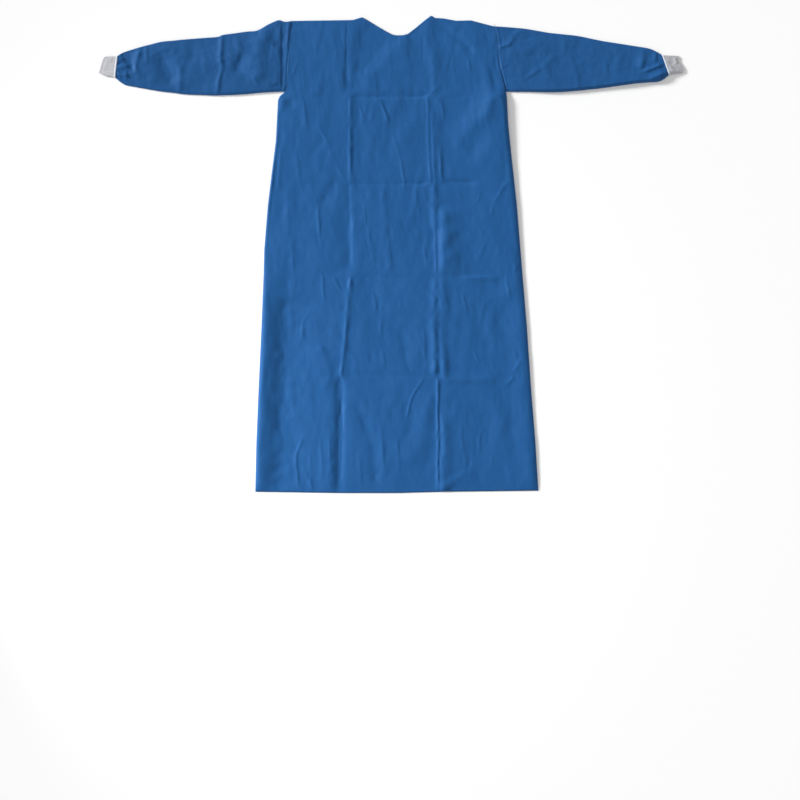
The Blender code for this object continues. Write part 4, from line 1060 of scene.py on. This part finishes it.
def cuff_points(which):
    """The rings of a knitted cuff: fine ribs run along it, and it thins out to its ruffled open end."""
    sections = CUFFS[which]
    sign = 1 if which == "left" else -1
    last = len(sections["top"]) - 1
    stations = np.linspace(0.0, last, CUFF_RINGS)

    def bow(x, height, share, station):
        reach = np.interp(station, np.arange(last + 1), sections["reach"])
        bend = soft_steps(share, *CUFF_ENDS[which], CUFF_END_EASE)
        ruffle = RUFFLE * np.cos(2 * np.pi * RIBS * share) * (station / last) ** 4
        return x + sign * (reach * bend + ruffle)

    def outer(x, height, from_top, from_low, share, station, upper):
        distance = np.minimum(from_top, from_low)
        edge = rounded(distance, CUFF_FOLD)
        ribs = RIB_RISE * np.cos(2 * np.pi * RIBS * share) * rounded(distance, RIB_FADE)
        thinner = 1 - CUFF_THINNING * (station / last) ** 1.5
        relief = fold_rise(x, height, CUFF_FOLDS[which]) * rise_from_edge(distance, RELIEF_REACH)
        end_roll = CUFF_END_ROLL * np.exp(-((last - station) / CUFF_END_WIDTH) ** 2)
        top_face = FOLD_MIDDLE + edge * (CUFF_LOFT * thinner + end_roll + relief) + ribs
        top_face = top_face + low_fold(x, from_low, which) * thinner
        flat = CUFF_UNDER + (FOLD_MIDDLE - CUFF_UNDER) * (1 - edge) + np.maximum(ribs, -CUFF_UNDER)
        return np.where(upper, top_face, flat)

    return flat_tube(sections, stations, RIBS * RIB_POINTS[0], RIBS * RIB_POINTS[1], outer, bow)


OVERLOCK_WIDTH = 0.0042
OVERLOCK_HEIGHT = 0.0013
OVERLOCK_LOOP = 0.0019
OVERLOCK_SIDES = 10  # points round its section
OVERLOCK_SWELL = 0.16  # how much each loop swells the seam
OVERLOCK_SLANT = 1.3  # how far the loops slant, in radians of their turn


def overlock_points(ring):
    """The overlocked seam around a wrist: thread looped over the cut edges, carried along a ring.

    Its section is an oval whose size swells with each loop; the loops slant across it."""
    forward = np.roll(ring, -1, axis=0) - np.roll(ring, 1, axis=0)
    forward /= np.linalg.norm(forward, axis=1)[:, None]
    outward = np.stack([np.zeros(len(ring)), forward[:, 2], -forward[:, 1]], axis=-1)
    outward /= np.linalg.norm(outward, axis=1)[:, None]
    steps = np.linalg.norm(np.roll(ring, -1, axis=0) - ring, axis=1)
    along = np.cumsum(steps)
    loops = np.round(along[-1] / OVERLOCK_LOOP)
    turn = np.linspace(0, 2 * np.pi, OVERLOCK_SIDES, endpoint=False)[None, :]
    phase = 2 * np.pi * loops * (along / along[-1])[:, None]
    swell = 1 + OVERLOCK_SWELL * np.cos(phase + OVERLOCK_SLANT * np.cos(turn))
    across = OVERLOCK_WIDTH / 2 * np.cos(turn) * swell
    up = OVERLOCK_HEIGHT / 2 * np.sin(turn) * swell
    points = ring[:, None, :] + up[..., None] * outward[:, None, :]
    points[..., 0] += across
    points[..., 2] = np.maximum(points[..., 2], 0.0)
    return points


STITCH_PITCH = 0.0052
STITCH_LENGTH = 0.0034
STITCH_RADIUS = 0.00030
STITCH_RINGS = 7
STITCH_SIDES = 6  # points of each ring
STITCH_INSET = 0.0022
STITCH_ARC = 0.00016  # how far a stitch rises out of the cloth
STITCH_MARGINS = (0.006, 0.008)  # what is left free above the underarm and below the shoulder


def stitch_grids(which):
    """A row of stitches down the front's edge beside an armhole seam.

    Each is a short arc of thread: half a sine wave up out of the cloth and back into it."""
    sign = 1 if which == "left" else -1
    ceiling = SIDES["height"][-1] - STITCH_MARGINS[1]
    levels = np.arange(UNDERARM + STITCH_MARGINS[0], ceiling, STITCH_PITCH)
    share = np.linspace(0, 1, STITCH_RINGS)[:, None]
    turn = np.linspace(0, 2 * np.pi, STITCH_SIDES, endpoint=False)[None, :]
    swell = STITCH_RADIUS * np.sin(np.pi * np.clip(share, 0.08, 0.92)) ** 0.4
    grids = []
    for level in levels:
        height = level + share * STITCH_LENGTH + 0 * turn
        x = side(height, which) - sign * STITCH_INSET
        z = front_face(x, height) + STITCH_ARC * np.sin(np.pi * share)
        grids.append(np.stack([x + swell * np.cos(turn), height, z + swell * np.sin(turn)], axis=-1))
    return grids


def on_surface(points):
    """Moves points from the gown's own x and height to the part's frame."""
    return np.asarray(points) + np.array([CENTRE_LINE_X, -LENGTH / 2, 0.0])


def make_piece(name, grids, material, around=False, capped=False, lie=None):
    """One mesh of one or more grids of points, each closed around its columns where asked.

    lie gives each point's place along and across its own piece, for the finish."""
    points, faces, first = [], [], 0
    for grid in grids:
        rows, columns = grid.shape[:2]
        start, step = np.meshgrid(np.arange(rows - 1), np.arange(columns - (not around)), indexing="ij")
        beside = (step + 1) % columns
        corners = [start * columns + step, start * columns + beside,
                   (start + 1) * columns + beside, (start + 1) * columns + step]
        faces += (np.stack(corners, axis=-1).reshape(-1, 4) + first).tolist()
        if capped:
            ring = np.arange(columns)
            faces.append((first + ring[::-1]).tolist())
            faces.append((first + (rows - 1) * columns + ring).tolist())
        points.append(on_surface(grid).reshape(-1, 3))
        first += rows * columns
    mesh = bpy.data.meshes.new(name)
    mesh.from_pydata(np.vstack(points).tolist(), [], faces)
    if lie is not None:
        attribute = mesh.attributes.new("lie", "FLOAT_VECTOR", "POINT")
        attribute.data.foreach_set("vector", np.ascontiguousarray(lie, dtype=np.float32).ravel())
    mesh.update()
    mesh.shade_smooth()
    mesh.materials.append(material)
    piece = bpy.data.objects.new(name, mesh)
    bpy.context.scene.collection.objects.link(piece)
    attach(piece, "root")
    return piece


def give_wall(piece, thickness):
    """Gives a shell its thickness, inwards from its outer face."""
    wall = piece.modifiers.new("Wall", "SOLIDIFY")
    wall.thickness = thickness
    wall.offset = -1.0
    wall.use_even_offset = False


STRAP_SIDES = 20  # points round a strap's section
FLATNESS = (0.35, 0.55)  # the powers of its superellipse, across and up


def strap_profile(width, thickness):
    """The outline of a folded strap's section, as across and up.

    It is a superellipse, with flat faces and rounded edges, and a shallow groove along the seam."""
    turn = np.linspace(0, 2 * np.pi, STRAP_SIDES, endpoint=False)
    across = np.sign(np.cos(turn)) * np.abs(np.cos(turn)) ** FLATNESS[0] * width / 2
    up = np.sign(np.sin(turn)) * np.abs(np.sin(turn)) ** FLATNESS[1] * thickness / 2
    from_seam = (across - TIE_SEAM_AT * width) / TIE_GROOVE_WIDTH
    groove = TIE_GROOVE * thickness * np.exp(-from_seam ** 2) * np.sign(up)
    return across, up - groove


def carried(route, lift, width, thickness):
    """Carries a strap's section along a route; lift is the z of the strap's underside."""
    direction = np.gradient(route, axis=0)
    direction /= np.linalg.norm(direction, axis=1)[:, None]
    sideways = np.stack([-direction[:, 1], direction[:, 0]], axis=-1)
    across, up = strap_profile(width, thickness)
    xy = route[:, None, :] + across[None, :, None] * sideways[:, None, :]
    z = lift[:, None] + thickness / 2 + up[None, :]
    rings = np.concatenate([xy, z[:, :, None]], axis=-1)[:, ::-1]
    length = np.concatenate([[0], np.cumsum(np.linalg.norm(np.diff(route, axis=0), axis=1))])
    along = np.broadcast_to(length[:, None], z.shape)
    lie = np.stack([along, np.broadcast_to(across[::-1], z.shape), np.zeros_like(z)], axis=-1)
    centres = np.column_stack([route, lift + thickness / 2])
    return rings, lie, centres, length[-1]


# Camera, light and floor
camera = bpy.data.objects.new("camera", bpy.data.cameras.new("camera"))
camera.data.lens = LENS
camera.data.sensor_width = SENSOR
camera.location = (*FRAME_CENTRE, FRAME_WIDTH * LENS / SENSOR)
bpy.context.scene.collection.objects.link(camera)
bpy.context.scene.camera = camera
bpy.context.scene.view_settings.view_transform = "Standard"

KEY_ELEVATION = np.radians(17)
KEY_BEARING = np.radians(157)  # from +X, so from the photograph's left and a little from its top
KEY_STRENGTH = 5.4
KEY_SPREAD = np.radians(9)
SKY_STRENGTH = 0.55
FILL_PLACE = (-0.75, -0.50, 0.50)  # a soft panel to the left of the hem, low over the floor
FILL_AIM = (-0.10, -0.35, 0.0)
FILL_SIZE = 0.7
FILL_POWER = 3.1

key = bpy.data.objects.new("key_light", bpy.data.lights.new("key_light", "SUN"))
key.data.energy = KEY_STRENGTH
key.data.angle = KEY_SPREAD
key.rotation_euler = (np.pi / 2 - KEY_ELEVATION, 0, KEY_BEARING + np.pi / 2)
bpy.context.scene.collection.objects.link(key)

fill = bpy.data.objects.new("fill_light", bpy.data.lights.new("fill_light", "AREA"))
fill.data.energy = FILL_POWER
fill.data.size = FILL_SIZE
fill.location = FILL_PLACE
fill.rotation_euler = (Vector(FILL_PLACE) - Vector(FILL_AIM)).to_track_quat("Z", "Y").to_euler()
fill.visible_camera = False
bpy.context.scene.collection.objects.link(fill)

sky = bpy.data.worlds.new("studio")
sky.use_nodes = True
sky.node_tree.nodes["Background"].inputs["Color"].default_value = (1, 1, 1, 1)
sky.node_tree.nodes["Background"].inputs["Strength"].default_value = SKY_STRENGTH
bpy.context.scene.world = sky

FLOOR_SIZE = 30.0
FLOOR_LEVEL = -0.0002  # just below the gown's underside
floor_mesh = bpy.data.meshes.new("floor")
half = FLOOR_SIZE / 2
floor_corners = [(-half, -half), (half, -half), (half, half), (-half, half)]
floor_mesh.from_pydata([(x, y, FLOOR_LEVEL) for x, y in floor_corners], [], [(0, 1, 2, 3)])
floor_mesh.materials.append(floor_paper("studio_paper"))
floor = bpy.data.objects.new("floor", floor_mesh)
bpy.context.scene.collection.objects.link(floor)

# The ties, which lie under the back panels
STRAP_RINGS = 24
TIE_RINGS = 150
folded_strap = tie_cloth("tie_cloth")
for which in ("left", "right"):
    strap_route = even_route(STRAPS[which], STRAP_RINGS)
    rings, lie, *_ = carried(strap_route, np.zeros(STRAP_RINGS), TIE_WIDTH, TIE_THICKNESS)
    strap = make_piece("waist_strap_" + which, [rings], folded_strap, True, True, lie)
    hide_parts("tie_" + which + "_strap")

    route = even_route(TIES[which], TIE_RINGS)
    lift = np.zeros(len(route))
    if which == "right":
        near = np.linalg.norm(route - np.array(TIE_CROSSING), axis=1)
        lift = (TIE_THICKNESS + TIE_CLEAR) * eased((2 * CROSSING_REACH - near) / CROSSING_REACH)
    rings, lie, centres, length = carried(route, lift, TIE_WIDTH, TIE_THICKNESS)
    tie = make_piece("waist_tie_" + which, [rings], folded_strap, True, True, lie)
    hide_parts("tie_" + which + "_end")


KNOT_TURNS = 96
KNOT_RINGS = 40
PLEAT_LENGTH = 0.0021  # the distance in which the pleats' wave turns by one radian
PLEAT_BEND = 0.006  # and the one in which their bending does
WRAP_WIDTH = 0.0042  # half width of the turn that wraps the knot's middle


def knot_points():
    """The pulled knot: a flattened ball whose face is drawn into pleats that run to both sides.

    Its radius in the plane has four large lobes and seven small ones. The pleats are waves across
    it that die out towards its rim, and a raised band wraps its middle."""
    turn = np.linspace(0, 2 * np.pi, KNOT_TURNS, endpoint=False)[None, :]
    rise = np.linspace(-np.pi / 2, np.pi / 2, KNOT_RINGS + 2)[1:-1, None]
    ring = np.cos(rise) ** 0.7
    lobes = 1 + 0.05 * np.cos(4 * turn) + 0.03 * np.cos(7 * turn + 0.8)
    x = KNOT_SIZE[0] / 2 * ring * lobes * np.cos(turn)
    y = KNOT_SIZE[1] / 2 * ring * lobes * np.sin(turn)
    up = np.sin(rise) * np.ones_like(turn)
    pleats = 0.16 * np.cos(y / PLEAT_LENGTH + 1.8 * np.sin(x / PLEAT_BEND)) * ring
    wrap = 0.22 * np.exp(-((x - 0.0015 * np.sin(y / PLEAT_BEND)) / WRAP_WIDTH) ** 4)
    z = KNOT_SIZE[2] / 2 * (1 + np.sign(up) * np.abs(up) ** 0.8 * (0.80 + pleats + wrap) / 1.12)
    grid = np.stack([x + KNOT_CENTRE[0], y + KNOT_CENTRE[1], np.clip(z, 0.0, KNOT_SIZE[2])], axis=-1)
    lie = np.stack([x, y, np.zeros_like(x)], axis=-1)
    return grid, lie


knot_grid, knot_lie = knot_points()
knot = make_piece("waist_knot", [knot_grid], folded_strap, True, True, knot_lie)
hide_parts("tie_knot")

# The cloth of the body and sleeves
gown_cloth = nonwoven("gown_cloth", CLOTH_BLUE, CLOTH_PALE)
front = make_piece("front_cloth", [front_points()], gown_cloth)
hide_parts("front_panel")
give_wall(front, CLOTH)

for which in ("left", "right"):
    panel = make_piece("back_cloth_" + which, [back_points(which)], gown_cloth)
    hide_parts("back_panel_" + which)
    give_wall(panel, CLOTH)

# painted shade: the sleeves' cloth is the front's cloth made darker, in place of the shade that falls
# on them
shaded_sleeve_blue, shaded_sleeve_pale = (tuple(SLEEVE_PAINTED_SHADE * part for part in colour)
                            for colour in (CLOTH_BLUE, CLOTH_PALE))
sleeve_cloth = nonwoven("sleeve_cloth", shaded_sleeve_blue, shaded_sleeve_pale)
OVERLOCK_AT = 3  # the cuff's ring that its seam lies over
cuff_knit = rib_knit("cuff_knit")
overlock_thread = thread("overlock_thread", THREAD_WHITE)
blue_thread = thread("blue_thread", THREAD_BLUE)
for which in ("left", "right"):
    rings = sleeve_points(which)
    rings = rings if which == "left" else rings[:, ::-1]
    sleeve = make_piece("sleeve_cloth_" + which, [rings], sleeve_cloth, around=True)
    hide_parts("sleeve_" + which)
    give_wall(sleeve, CLOTH)

    rings = cuff_points(which)
    rings = rings if which == "left" else rings[:, ::-1]
    along = np.abs(rings[:, :, 0] - rings[0, 0, 0])
    lie = np.stack([along, rings[:, :, 1], np.zeros_like(along)], axis=-1)
    cuff = make_piece("cuff_knit_" + which, [rings], cuff_knit, around=True, lie=lie)
    loops = overlock_points(rings[OVERLOCK_AT])
    loops = np.concatenate([loops, loops[:1]])
    make_piece("wrist_overlock_" + which, [loops], overlock_thread, around=True)
    make_piece("armhole_stitches_" + which, stitch_grids(which), blue_thread,
               around=True, capped=True)
    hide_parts("cuff_" + which)
    give_wall(cuff, KNIT)
